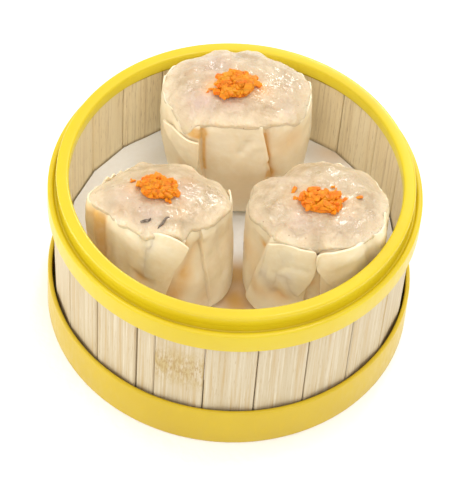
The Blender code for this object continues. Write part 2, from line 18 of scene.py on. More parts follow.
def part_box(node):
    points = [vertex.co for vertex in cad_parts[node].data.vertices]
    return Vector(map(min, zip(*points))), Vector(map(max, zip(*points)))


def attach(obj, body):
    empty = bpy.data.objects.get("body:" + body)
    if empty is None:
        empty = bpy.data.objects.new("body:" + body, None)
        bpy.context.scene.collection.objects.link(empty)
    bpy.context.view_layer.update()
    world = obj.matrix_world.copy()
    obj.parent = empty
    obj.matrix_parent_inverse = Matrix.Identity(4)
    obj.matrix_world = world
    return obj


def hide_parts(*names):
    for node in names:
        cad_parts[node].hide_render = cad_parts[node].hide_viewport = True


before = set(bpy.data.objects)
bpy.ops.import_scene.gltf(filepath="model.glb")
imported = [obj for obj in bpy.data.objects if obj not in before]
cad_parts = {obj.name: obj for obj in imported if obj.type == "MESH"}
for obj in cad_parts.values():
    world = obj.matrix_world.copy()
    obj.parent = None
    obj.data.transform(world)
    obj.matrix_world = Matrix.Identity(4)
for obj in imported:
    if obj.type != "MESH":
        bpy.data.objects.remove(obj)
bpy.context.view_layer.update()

# %% [markdown]
# ## Selecting by code
#
# Most operators act on whatever is selected, and loading the model leaves its nodes selected. One small
# helper clears that before each new piece, so nothing else is shaped by accident. The others here hold the
# few calls that nearly every piece needs.

# %% Helpers for selecting
def deselect_all():
    """Clear the selection, and leave edit mode first if it is on."""
    if bpy.context.object is not None and bpy.context.object.mode == "EDIT":
        bpy.ops.object.mode_set(mode="OBJECT")
    bpy.ops.object.select_all(action="DESELECT")


def make_active(piece):
    """Select one piece alone and make it the active one."""
    deselect_all()
    piece.select_set(True)
    bpy.context.view_layer.objects.active = piece


def join_pieces(first, others):
    """Join the other pieces into the first one."""
    make_active(first)
    for piece in others:
        piece.select_set(True)
    bpy.ops.object.join()


# %% Helpers for finishing a piece
MERGE_DISTANCE = 0.000002


def apply_modifiers(piece):
    """Turn what the modifiers show into real mesh."""
    make_active(piece)
    for modifier in list(piece.modifiers):
        bpy.ops.object.modifier_apply(modifier=modifier.name)


def face_outwards(merge=False):
    """Turn the active piece's faces outwards, after merging the vertices that meet."""
    bpy.ops.object.mode_set(mode="EDIT")
    bpy.ops.mesh.select_all(action="SELECT")
    if merge:
        bpy.ops.mesh.remove_doubles(threshold=MERGE_DISTANCE)
    bpy.ops.mesh.normals_make_consistent(inside=False)
    bpy.ops.object.mode_set(mode="OBJECT")


def smooth_shading(sharp_above):
    """Shade the active piece smooth, except over edges sharper than an angle in degrees."""
    bpy.ops.object.shade_smooth_by_angle(angle=math.radians(sharp_above))


def report(piece):
    """Print the faces and the size of a piece, as a check while the script runs."""
    faces = len(piece.data.polygons)
    size = [round(1000 * side, 1) for side in piece.dimensions]
    print(f"{piece.name}: {faces} faces, {size} mm")


# %% [markdown]
# ## Camera
#
# The photo was matched by fitting a camera to the four rings of the basket: it looks down at about 51
# degrees from about 60 cm away through a long lens, and leans a little to one side. Building the camera
# matrix from those few numbers keeps the view exact, where placing it by eye would not.

# %% The photo's camera
PHOTO_HEIGHT_PIXELS = 481
FOCAL_PIXELS = 2200
CAMERA_PITCH = math.radians(51.45)
CAMERA_ROLL = math.radians(-4.73)
CAMERA_DISTANCE = 0.625
CAMERA_SHIFT_RIGHT = 0.00235
CAMERA_SHIFT_UP = 0.01483

looking = Vector((0, math.cos(CAMERA_PITCH), -math.sin(CAMERA_PITCH)))
level_right = Vector((1, 0, 0))
level_up = Vector((0, math.sin(CAMERA_PITCH), math.cos(CAMERA_PITCH)))
right = level_right * math.cos(CAMERA_ROLL) - level_up * math.sin(CAMERA_ROLL)
up = level_right * math.sin(CAMERA_ROLL) + level_up * math.cos(CAMERA_ROLL)
place = -CAMERA_DISTANCE * looking + CAMERA_SHIFT_RIGHT * right + CAMERA_SHIFT_UP * up

deselect_all()
bpy.ops.object.camera_add()
camera = bpy.context.object
camera.name = "camera"
camera.data.sensor_width = 36
camera.data.lens = FOCAL_PIXELS * camera.data.sensor_width / PHOTO_HEIGHT_PIXELS
camera.matrix_world = Matrix.Translation(place) @ Matrix((right, up, -looking)).transposed().to_4x4()
bpy.context.scene.camera = camera
print("camera at", [round(c, 3) for c in place])

# %% [markdown]
# ## Light and floor
#
# The photo is bright and even, with soft gloss on the wet meat. A white world gives the even part. Soft
# lamps do the rest: a large one high in front lights the tops and reaches down between the siomay, a long
# low one draws a pale line along the plastic's edges, one at each side keeps the ends of the basket bright,
# and small ones behind and above put the sparkle on the wet meat by their reflection.

# %% Soft studio light
WORLD_BRIGHTNESS = 0.92
MIDDLE_OF_FOOD = Vector((0, 0, 0.045))

world = bpy.data.worlds.new("studio")
bpy.context.scene.world = world
world.use_nodes = True
background = world.node_tree.nodes["Background"]
background.inputs["Color"].default_value = (1.0, 1.0, 1.0, 1.0)
background.inputs["Strength"].default_value = WORLD_BRIGHTNESS
bpy.context.scene.view_settings.view_transform = "Standard"


def soft_lamp(name, place, width, depth, watts):
    """A rectangular lamp that faces the middle of the food."""
    deselect_all()
    bpy.ops.object.light_add(type="AREA", location=place)
    lamp = bpy.context.object
    lamp.name = name
    lamp.data.shape = "RECTANGLE"
    lamp.data.size = width
    lamp.data.size_y = depth
    lamp.data.energy = watts
    towards = MIDDLE_OF_FOOD - Vector(place)
    lamp.rotation_euler = towards.to_track_quat("-Z", "Y").to_euler()


soft_lamp("lamp_back", (0.16, 0.55, 0.42), 0.22, 0.10, 1.5)
soft_lamp("lamp_overhead_left", (-0.20, 0.16, 0.66), 0.14, 0.10, 0.5)
soft_lamp("lamp_overhead_right", (0.14, 0.12, 0.68), 0.14, 0.10, 0.7)
soft_lamp("lamp_key", (0.03, -0.47, 0.79), 0.90, 0.70, 2.6)
soft_lamp("lamp_low_front", (0.0, -0.62, 0.42), 0.70, 0.03, 0.35)
soft_lamp("lamp_left", (-0.75, -0.10, 0.12), 0.50, 0.30, 2.4)
soft_lamp("lamp_right", (0.75, -0.10, 0.12), 0.50, 0.30, 1.0)

# %% A pale floor
FLOOR_SIZE = 6.0

deselect_all()
bpy.ops.mesh.primitive_plane_add(size=FLOOR_SIZE, location=(0, 0, 0))
floor = bpy.context.object
floor.name = "floor"
print("lamps and floor placed")

# %% [markdown]
# ## Materials from nodes
#
# Every finish here is worked out from noise and ramps instead of image files, so it has detail at any
# distance. The few helpers below add one kind of node each and join it up, which keeps the recipes that
# follow short enough to read as a list of layers.

# %% Helpers for building a material
class Finish:
    """A Principled material and short calls for the nodes that feed it."""

    def __init__(self, name, roughness=0.5, **sockets):
        self.material = bpy.data.materials.new(name)
        self.material.use_nodes = True
        self.nodes = self.material.node_tree.nodes
        self.links = self.material.node_tree.links
        self.shader = self.nodes["Principled BSDF"]
        self.shader.inputs["Roughness"].default_value = roughness
        for socket, value in sockets.items():
            self.shader.inputs[socket.replace("_", " ")].default_value = value
        self.place = self.nodes.new("ShaderNodeTexCoord").outputs["Object"]

    def feed(self, value, socket):
        """Join an output to a socket, or write a plain value into it."""
        if isinstance(value, bpy.types.NodeSocket):
            self.links.new(value, socket)
        else:
            socket.default_value = value

    def stretched(self, scale, move=(0, 0, 0)):
        """Coordinates stretched along each axis."""
        mapping = self.nodes.new("ShaderNodeMapping")
        mapping.inputs["Scale"].default_value = scale
        mapping.inputs["Location"].default_value = move
        self.links.new(self.place, mapping.inputs["Vector"])
        return mapping.outputs["Vector"]

    def noise(self, scale, detail=4.0, roughness=0.5, where=None):
        """Cloudy noise from 0 to 1; its blotches are about one metre divided by the scale."""
        node = self.nodes.new("ShaderNodeTexNoise")
        node.inputs["Scale"].default_value = scale
        node.inputs["Detail"].default_value = detail
        node.inputs["Roughness"].default_value = roughness
        self.links.new(where or self.place, node.inputs["Vector"])
        return node.outputs["Fac"]

    def cells(self, scale):
        """Distance to scattered points, for specks."""
        node = self.nodes.new("ShaderNodeTexVoronoi")
        node.inputs["Scale"].default_value = scale
        self.links.new(self.place, node.inputs["Vector"])
        return node.outputs["Distance"]

    def attribute(self, name):
        """A value that was stored on the vertices of the mesh."""
        node = self.nodes.new("ShaderNodeAttribute")
        node.attribute_name = name
        return node.outputs["Fac"]

    def height_and_radius(self):
        """Height over the table, and distance from the axis of the basket."""
        split = self.nodes.new("ShaderNodeSeparateXYZ")
        self.links.new(self.place, split.inputs["Vector"])
        x, y, z = split.outputs
        squared = self.sum("ADD", self.sum("MULTIPLY", x, x), self.sum("MULTIPLY", y, y))
        return z, self.sum("SQRT", squared, 0.0)

    def spread(self, value, low, high, to_low=0.0, to_high=1.0):
        """Stretch the part of a value between low and high to another range."""
        node = self.nodes.new("ShaderNodeMapRange")
        self.feed(value, node.inputs["Value"])
        node.inputs["From Min"].default_value = low
        node.inputs["From Max"].default_value = high
        node.inputs["To Min"].default_value = to_low
        node.inputs["To Max"].default_value = to_high
        return node.outputs["Result"]

    def sum(self, operation, first, second):
        """One step of arithmetic, such as ADD or MULTIPLY."""
        node = self.nodes.new("ShaderNodeMath")
        node.operation = operation
        self.feed(first, node.inputs[0])
        self.feed(second, node.inputs[1])
        return node.outputs["Value"]

    def blend(self, amount, first, second):
        """Mix two colours: at 0 the first one shows, at 1 the second."""
        node = self.nodes.new("ShaderNodeMix")
        node.data_type = "RGBA"
        self.feed(amount, node.inputs["Factor"])
        for colour, socket in ((first, node.inputs[6]), (second, node.inputs[7])):
            self.feed((*colour, 1.0) if isinstance(colour, tuple) else colour, socket)
        return node.outputs[2]

    def bump(self, height, distance, strength=1.0, over=None):
        """Fine relief: distance is its real depth in metres, and it can lie over another relief."""
        node = self.nodes.new("ShaderNodeBump")
        node.inputs["Distance"].default_value = distance
        node.inputs["Strength"].default_value = strength
        self.links.new(height, node.inputs["Height"])
        if over is not None:
            self.links.new(over, node.inputs["Normal"])
        return node.outputs["Normal"]

    def finish(self, colour, roughness=None, normal=None):
        """Join the finished layers to the shader."""
        for value, socket in ((colour, "Base Color"), (roughness, "Roughness"), (normal, "Normal")):
            if value is not None:
                self.links.new(value, self.shader.inputs[socket])
        return self.material


def paint(piece, material):
    """Give a piece one material in place of what it had."""
    piece.data.materials.clear()
    piece.data.materials.append(material)


# %% The floor's finish
def studio_floor():
    f = Finish("studio_floor", roughness=0.9)
    tone = f.blend(f.noise(3.0), (0.93, 0.93, 0.93), (0.96, 0.96, 0.96))
    return f.finish(tone, normal=f.bump(f.noise(400.0), 0.0002))


paint(floor, studio_floor())

# %% [markdown]
# ## Yellow rim and base
#
# The two rings are injection-moulded plastic. Each is the same profile all the way round, so it is made as
# a potter would: one circle is added, and then its edge loop is extruded and resized from point to point
# of the profile. Small arcs stand for the corners, because a moulded edge that catches a thin line of
# light is what makes plastic look like plastic.

# %% Turn a ring from its profile
RING_STEPS = 192
ARC_STEPS = 5


def rounded_profile(corners):
    """Replace each (radius, height, rounding) corner with a small arc of points."""
    points = []
    for i, (radius, height, rounding) in enumerate(corners):
        corner = Vector((radius, height))
        if rounding == 0:
            points.append(corner)
            continue
        before = Vector(corners[i - 1][:2]) - corner
        after = Vector(corners[(i + 1) % len(corners)][:2]) - corner
        start = corner + before.normalized() * rounding
        end = corner + after.normalized() * rounding
        for step in range(ARC_STEPS):
            t = step / (ARC_STEPS - 1)
            points.append(start * (1 - t) ** 2 + corner * 2 * t * (1 - t) + end * t ** 2)
    return points


def turned_ring(name, corners):
    """A ring shaped like pottery: one edge loop is pulled along the profile and closed on its start."""
    points = rounded_profile(corners)
    radius, height = points[0]
    deselect_all()
    bpy.ops.mesh.primitive_circle_add(vertices=RING_STEPS, radius=radius, location=(0, 0, height))
    ring = bpy.context.object
    ring.name = name
    bpy.ops.object.transform_apply(location=True)
    bpy.ops.object.mode_set(mode="EDIT")
    bpy.ops.mesh.select_all(action="SELECT")
    for next_radius, next_height in points[1:]:
        grow = next_radius / radius
        rise = (0, 0, next_height - height)
        bpy.ops.mesh.extrude_edges_move(TRANSFORM_OT_translate={"value": rise})
        bpy.ops.transform.resize(value=(grow, grow, 1), center_override=(0, 0, 0))
        radius, height = next_radius, next_height
    bpy.ops.mesh.select_all(action="DESELECT")
    bpy.ops.mesh.select_non_manifold()
    bpy.ops.mesh.bridge_edge_loops()
    bpy.ops.object.mode_set(mode="OBJECT")
    face_outwards()
    smooth_shading(35)
    report(ring)
    return ring


# %% The rim
RIM_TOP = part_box("rim_ring")[1].z
RIM_INNER_RADIUS = 0.0445

# each corner: radius, height, rounding
rim = turned_ring("rim", [
    (0.0480, RIM_TOP, 0.0009),
    (0.0474, 0.0484, 0.0006),
    (0.0479, 0.0470, 0.0003),
    (0.0485, 0.0470, 0.0002),
    (0.0487, 0.0479, 0.0005),
    (0.0502, 0.0478, 0.0006),
    (0.0503, 0.0413, 0.0004),
    (0.0494, 0.0413, 0.0002),
    (0.0494, 0.0467, 0.0),
    (0.0460, 0.0467, 0.0),
    (0.0460, 0.0487, 0.0),
    (RIM_INNER_RADIUS, 0.0487, 0.0003),
    (RIM_INNER_RADIUS, RIM_TOP, 0.0008),
])

# %% The base
base = turned_ring("base", [
    (0.0506, 0.0136, 0.0007),
    (0.0508, 0.0000, 0.0005),
    (0.0448, 0.0000, 0.0005),
    (0.0448, 0.0020, 0.0003),
    (0.0494, 0.0020, 0.0),
    (0.0494, 0.0136, 0.0005),
])

# %% [markdown]
# Moulded plastic is not one flat yellow: it has a slow drift in tone and a fine matt grain where hands rub
# it. The inner face of the rim, below its top, is painted paler: painted light that lifts the shade there. A
# thin clear coat on the shader gives the sharp line along each edge over the softer body colour.

# %% Yellow plastic
BASE_TO_RIM = (0.012, 0.048)


def yellow_plastic():
    f = Finish("yellow_plastic", Coat_Weight=0.15, Coat_Roughness=0.12, Specular_IOR_Level=0.35,
               Subsurface_Weight=0.08, Subsurface_Radius=(0.004, 0.003, 0.001), Subsurface_Scale=0.5)
    drift = f.noise(45.0, 3.0)
    z, radius = f.height_and_radius()
    high = f.spread(z, *BASE_TO_RIM)
    light = f.blend(high, (0.57, 0.397, 0.007), (0.64, 0.490, 0.009))
    deep = f.blend(high, (0.52, 0.350, 0.005), (0.60, 0.440, 0.006))
    tone = f.blend(f.spread(drift, 0.3, 0.7), deep, light)
    # Painted light: the inner face of the rim, below its rounded top, gets a paler yellow to lift the shade
    # there.
    inner_face = f.spread(radius, RIM_INNER_RADIUS + 0.0001, RIM_INNER_RADIUS + 0.0006, 1.0, 0.0)
    below_top = f.spread(z, RIM_TOP - 0.0008, RIM_TOP - 0.0002, 1.0, 0.0)
    painted_light_under_top = f.sum("MULTIPLY", inner_face, f.sum("MULTIPLY", below_top, high))
    tone = f.blend(painted_light_under_top, tone, (0.84, 0.68, 0.04))
    scuffs = f.noise(700.0, 6.0, where=f.stretched((1, 1, 0.35)))
    tone = f.blend(f.spread(scuffs, 0.55, 0.8, 0.0, 0.25), tone, (0.66, 0.45, 0.010))
    roughness = f.spread(scuffs, 0.3, 0.75, 0.30, 0.46)
    grain = f.noise(2600.0, 2.0)
    relief = f.bump(grain, 0.00002, 0.6, over=f.bump(drift, 0.0006, 0.4))
    return f.finish(tone, roughness, relief)


plastic = yellow_plastic()
for ring, node in ((rim, "rim_ring"), (base, "base_ring")):
    paint(ring, plastic)
    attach(ring, "root")
    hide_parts(node)

# %% [markdown]
# ## Bamboo boards
#
# The wall is a row of thin flat boards cut from the same stock. Their solids have the right shape, so they
# stay. What the eye reads on the real thing is the grain: fine upright fibres, a slow change of tone, and
# boards that each came from another cane. Noise squeezed along the height gives fibres, and each board
# gets its own tone and its own stretch of noise.

# %% Bamboo
INNER_TO_OUTER_FACE = (0.0472, 0.0480)


def bamboo(name, tone, seed, knuckle=None):
    """Split bamboo with its fibres along Z, in the given tone from 0, pale, to 1, dark."""
    f = Finish(name, Specular_IOR_Level=0.35)
    move = (seed * 0.37, seed * 0.11, seed * 0.53)
    fibres = f.noise(1.0, 5.0, 0.6, where=f.stretched((1500, 1500, 28), move))
    bands = f.noise(1.0, 2.0, where=f.stretched((260, 260, 6), move))
    pores = f.noise(1.0, 2.0, where=f.stretched((3800, 3800, 240), move))
    z, radius = f.height_and_radius()
    # Painted light: the inner faces get a much paler copy of the wood colour, with paler fibres and fewer
    # dark streaks, to lift the shade inside the basket; the outer faces keep the darker copy.
    inside = f.spread(radius, *INNER_TO_OUTER_FACE, 1.0, 0.0)
    amount = f.spread(bands, 0.3, 0.7, 0.5 * tone, 0.45 + 0.5 * tone)
    outer = f.blend(amount, (0.60, 0.51, 0.355), (0.47, 0.365, 0.205))
    painted_light_inner = f.blend(amount, (1.0, 0.88, 0.61), (0.93, 0.76, 0.46))
    colour = f.blend(inside, outer, painted_light_inner)
    pale = f.blend(inside, (0.80, 0.74, 0.58), (1.0, 0.91, 0.68))
    colour = f.blend(f.spread(fibres, 0.30, 0.46, 0.40, 0.0), colour, pale)
    less_inside = f.spread(inside, 0.0, 1.0, 1.0, 0.5)
    worn = f.sum("MULTIPLY", f.spread(fibres, 0.50, 0.68, 0.0, 0.75), less_inside)
    colour = f.blend(worn, colour, (0.48, 0.32, 0.13))
    colour = f.blend(f.spread(pores, 0.60, 0.74, 0.0, 0.45), colour, (0.36, 0.22, 0.09))
    if knuckle is not None:
        height, reach = knuckle
        away = f.sum("ABSOLUTE", f.sum("SUBTRACT", z, height), 0.0)
        near = f.spread(away, 0.2 * reach, reach, 1.0, 0.0)
        cloud = f.noise(1.0, 2.0, where=f.stretched((420, 420, 170), move))
        flecks = f.noise(1.0, 4.0, 0.7, where=f.stretched((2400, 2400, 560), move))
        cloud = f.sum("MULTIPLY", near, f.spread(cloud, 0.38, 0.56, 0.0, 0.85))
        flecks = f.sum("MULTIPLY", near, f.spread(flecks, 0.46, 0.58, 0.0, 0.80))
        colour = f.blend(cloud, colour, (0.47, 0.345, 0.135))
        colour = f.blend(flecks, colour, (0.38, 0.24, 0.08))
    relief = f.bump(fibres, 0.00008, 0.8)
    return f.finish(colour, f.spread(fibres, 0.3, 0.7, 0.62, 0.48), relief)


BOARD_TONES = [0.25, 0.35, 0.20, 0.45, 0.30, 0.55, 0.35, 0.25, 0.50, 0.30, 0.45, 0.35,
               0.55, 0.30, 0.40, 0.60, 0.35, 0.45, 0.30, 0.55, 0.65, 0.30, 0.40]
KNUCKLE_BOARD = 1
KNUCKLE_HEIGHT_AND_REACH = (0.0285, 0.0095)

for number, tone in enumerate(BOARD_TONES, 1):
    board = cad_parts[f"slat_{number:02d}"]
    knuckle = KNUCKLE_HEIGHT_AND_REACH if number == KNUCKLE_BOARD else None
    paint(board, bamboo(f"bamboo_{number:02d}", tone, number, knuckle))
print(len(BOARD_TONES), "boards in bamboo")

# %% [markdown]
# ## Floor of the basket
#
# Strips on a hoop carry the paper. They are hidden from above but show from below, so they get the same
# bamboo with the fibres turned along each strip.

# %% Bamboo for the floor
def floor_bamboo(name, stretch, seed):
    f = Finish(name, Specular_IOR_Level=0.35)
    move = (seed * 0.37, seed * 0.21, seed * 0.13)
    fibres = f.noise(1.0, 5.0, 0.6, where=f.stretched(stretch, move))
    broad = f.noise(90.0, 2.0)
    colour = f.blend(f.spread(broad, 0.3, 0.7), (0.78, 0.62, 0.38), (0.64, 0.46, 0.24))
    colour = f.blend(f.spread(fibres, 0.48, 0.72, 0.0, 0.6), colour, (0.46, 0.30, 0.13))
    return f.finish(colour, f.spread(fibres, 0.3, 0.7, 0.65, 0.5), f.bump(fibres, 0.00008, 0.8))


ALONG_X = (28, 1500, 1500)
ALONG_Y = (1500, 28, 1500)
AROUND = (300, 300, 2500)
floor_finish = {"floor_hoop": floor_bamboo("bamboo_hoop", AROUND, 1)}
for number in range(1, 10):
    floor_finish[f"floor_strip_{number}"] = floor_bamboo(f"bamboo_strip_{number}", ALONG_Y, number)
for number in (1, 2):
    floor_finish[f"floor_batten_{number}"] = floor_bamboo(f"bamboo_batten_{number}", ALONG_X, number)
for name, material in floor_finish.items():
    paint(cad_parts[name], material)
print(len(floor_finish), "floor pieces in bamboo")

# %% [markdown]
# ## Paper liner
#
# A round of baking paper lies on the floor, trimmed to the boards. Steam makes it wavy. Between the two
# front siomay, and in a few spots beside them, it gets a golden-brown painted shadow with a warm reflected
# tint. A fine grid is drawn out to the outline of the boards and then lifted by slow noise, and a Solidify
# modifier gives it its thickness. How much painted shadow each vertex gets goes into an attribute, which the
# material reads. The outline comes from the directions of the boards' seams.

# %% Where the boards meet
NARROW_BOARD = (242.5, 249.0)
WIDE_BOARDS = 22
SEAM_SHIFT = 5.5
SEAM_SHIFT_POWER = 1.5
BOARD_INNER_FACE = 0.0461


def seam_direction(number):
    """Direction of a seam: evenly spaced, with a slow shift that is largest near the back."""
    even = (NARROW_BOARD[0] + 360.0 - NARROW_BOARD[1]) / WIDE_BOARDS
    shift = math.sin(math.pi * (number / WIDE_BOARDS) ** SEAM_SHIFT_POWER) ** 2
    return NARROW_BOARD[1] + even * number + SEAM_SHIFT * shift


board_spans = [(seam_direction(k), seam_direction(k + 1)) for k in range(WIDE_BOARDS)]
board_spans.append(NARROW_BOARD)
print("boards start at", [round(start, 1) for start, _ in board_spans])

# %% The liner
LINER_LOW, LINER_HIGH = (corner.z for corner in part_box("liner"))
PAPER_THICKNESS = 0.00025
LINER_GAP = 0.0005
LINER_CELLS = 150
# waves in the paper: share of the thickness, size
PAPER_WAVES = [(0.6, 0.016), (0.25, 0.006)]
# painted shadow places: where, reach along x and y, strength
PAINTED_SHADE_PLACES = [((0.0020, -0.0095), (0.0070, 0.0045), 1.0), ((0.0028, -0.0190), (0.0080, 0.0060), 0.95),
          ((0.0270, 0.0360), (0.0080, 0.0050), 0.45), ((0.0100, -0.0300), (0.0120, 0.0050), 0.5)]


def wall_distance(direction):
    """How far the boards' inner faces are from the middle."""
    for start, end in board_spans:
        if (direction - start) % 360.0 <= end - start:
            away = (direction - start) % 360.0 - (end - start) / 2
            return BOARD_INNER_FACE / math.cos(math.radians(away))
    return BOARD_INNER_FACE


deselect_all()
bpy.ops.mesh.primitive_grid_add(x_subdivisions=LINER_CELLS, y_subdivisions=LINER_CELLS, size=2)
liner = bpy.context.object
liner.name = "paper_liner"
for vertex in liner.data.vertices:
    x, y, _ = vertex.co
    reach = max(abs(x), abs(y))
    direction = math.atan2(y, x)
    edge = wall_distance(math.degrees(direction) % 360.0) - LINER_GAP
    spot = Vector((math.cos(direction), math.sin(direction), 0.0)) * edge * reach
    wave = sum((share * noise.noise(spot / size) for share, size in PAPER_WAVES), 0.5)
    low, high = LINER_LOW + PAPER_THICKNESS, LINER_HIGH
    spot.z = low + (high - low) * min(max(wave, 0.0), 1.0)
    vertex.co = spot
wall = liner.modifiers.new("paper thickness", "SOLIDIFY")
wall.thickness = PAPER_THICKNESS
wall.offset = -1.0
apply_modifiers(liner)
smooth_shading(40)
painted_shade = liner.data.attributes.new("painted_shade", "FLOAT", "POINT")
# Painted shadow: how much golden-brown painted shade each vertex gets, summed from soft spots; juice here is
# that painted shade.
for vertex in liner.data.vertices:
    juice = 0.0
    for (x, y), (reach_x, reach_y), strength in PAINTED_SHADE_PLACES:
        away = ((vertex.co.x - x) / reach_x) ** 2 + ((vertex.co.y - y) / reach_y) ** 2
        juice += strength * math.exp(-away)
    painted_shade.data[vertex.index].value = min(juice, 1.0)
report(liner)


# %% Steamed paper
def steamed_paper():
    f = Finish("liner_paper", Specular_IOR_Level=0.3)
    fibres = f.noise(900.0, 6.0, 0.65)
    damp = f.spread(f.noise(70.0, 3.0), 0.50, 0.72)
    colour = f.blend(f.spread(fibres, 0.3, 0.7), (0.98, 0.98, 0.97), (0.94, 0.93, 0.90))
    colour = f.blend(f.sum("MULTIPLY", damp, 0.3), colour, (0.88, 0.80, 0.68))
    # Painted shadow with a warm reflected tint where the stored amount is high; juice here is that painted
    # shade.
    juice = f.sum("MULTIPLY", f.attribute("painted_shade"), f.spread(damp, 0.0, 1.0, 0.8, 1.0))
    colour = f.blend(juice, colour, (0.68, 0.36, 0.03))
    return f.finish(colour, f.spread(damp, 0.0, 1.0, 0.75, 0.40), f.bump(fibres, 0.00006, 0.7))


paint(liner, steamed_paper())
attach(liner, "root")
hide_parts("liner")

# %% [markdown]
# ## The siomay's form
#
# A siomay is an open cup of thin dough, gathered round a ball of meat. Its outline from above is a soft
# rounded square. The dough folds over itself, so its wall steps outwards at the free edge of each fold.
# Measurements that belong to one siomay are kept together in one table, and a few functions turn them into
# the wall's radius at any direction and height. They follow the part's own source, but they work on whole
# arrays at once, which keeps fine meshes quick to make.

# %% Measurements of the three siomay
FOOD_FOOT = 0.0223
DOUGH_THICKNESS = 0.0009
FILLING_CLEARANCE = 0.0005
FOOT_ROUNDING = 0.0032
FOLD_TOP_HEIGHT = 0.0340
SHOULDER_TUCK = 0.06
SINK_WIDTH = 12.0
PLEAT_RUN_OUT = 0.0120
FLAP_RUN_OUT = 0.0060
DOME_POWER = 2.6
LUMP_SIZE = 0.0042
LUMP_HEIGHT = 0.0006

# fold: direction at the foot and at the top, raised side, lift, reach, sink
# pleat, lip change, low spot and toe: direction, amount, half width
SIOMAY = {
    "back": {
        "centre": (-0.0018, 0.0275), "half_x": 0.0210, "half_y": 0.0162, "turn": 0.0, "squareness": 2.3,
        "foot": 0.82, "belly_height": 0.0260, "lip": 0.0335, "slope": 0.150, "dome": 0.0042,
        "foot_shift": (0.0015, -0.0034), "toes": [(280, 0.0006, 30)],
        "folds": [(243, 239, -1, 0.0015, 30, 0.0006), (318, 297, -1, 0.0012, 42, 0.0008)],
        "pleats": [(212, -0.0008, 7), (285, -0.0005, 10), (20, -0.0007, 8), (60, -0.0007, 7),
                   (95, -0.0008, 7), (130, -0.0007, 8), (165, -0.0007, 7), (140, -0.0022, 18),
                   (40, -0.0020, 16)],
        "lip_changes": [(226, -0.0052, 18), (236, 0.0012, 5), (335, -0.0034, 16), (196, -0.0012, 8)],
        "low_spots": [(215, -0.0018, 30)],
        "carrot": {"centre": (-0.0022, 0.0230), "size": (0.0064, 0.0052), "height": 0.0021},
    },
    "left": {
        "centre": (-0.0193, -0.0125), "half_x": 0.0172, "half_y": 0.0137, "turn": -35.0, "squareness": 3.0,
        "foot": 0.98, "belly_height": 0.0240, "lip": 0.0314, "slope": 0.215, "dome": 0.0046,
        "foot_shift": (0.0008, -0.0026), "toes": [(343, 0.0018, 24)],
        "folds": [(268, 302, -1, 0.0020, 42, 0.0012), (330, 317, 1, 0.0012, 30, 0.0008)],
        "pleats": [(206, -0.0015, 5), (216, -0.0009, 6), (196, -0.0009, 4), (20, 0.0006, 8),
                   (60, -0.0008, 7), (92, -0.0004, 6), (125, -0.0006, 7), (160, -0.0006, 7),
                   (66, 0.0015, 15), (102, -0.0006, 9)],
        "lip_changes": [(259, -0.0019, 5), (300, -0.0022, 5), (285, 0.0006, 10)],
        "low_spots": [],
        "carrot": {"centre": (-0.0197, -0.0137), "size": (0.0060, 0.0048), "height": 0.0024},
    },
    "right": {
        "centre": (0.0222, -0.0094), "half_x": 0.0188, "half_y": 0.0174, "turn": 0.0, "squareness": 2.4,
        "foot": 0.93, "belly_height": 0.0240, "lip": 0.0312, "slope": 0.170, "dome": 0.0047,
        "foot_shift": (-0.0008, -0.0020), "toes": [],
        "folds": [(206, 229, 1, 0.0012, 34, 0.0012), (262, 269, -1, 0.0010, 30, 0.0007),
                  (284, 271, 1, 0.0010, 30, 0.0005)],
        "pleats": [(238, -0.0006, 9), (320, -0.0009, 8), (350, -0.0007, 8), (25, -0.0008, 8),
                   (62, -0.0008, 7), (98, -0.0008, 7), (170, -0.0007, 7), (128, -0.0012, 13)],
        "lip_changes": [(270, -0.0019, 5), (138, -0.0036, 24), (131, -0.0020, 15), (300, 0.0006, 14)],
        "low_spots": [(138, -0.0032, 24), (131, -0.0026, 15)],
        "carrot": {"centre": (0.0226, -0.0138), "size": (0.0070, 0.0046), "height": 0.0019},
    },
}
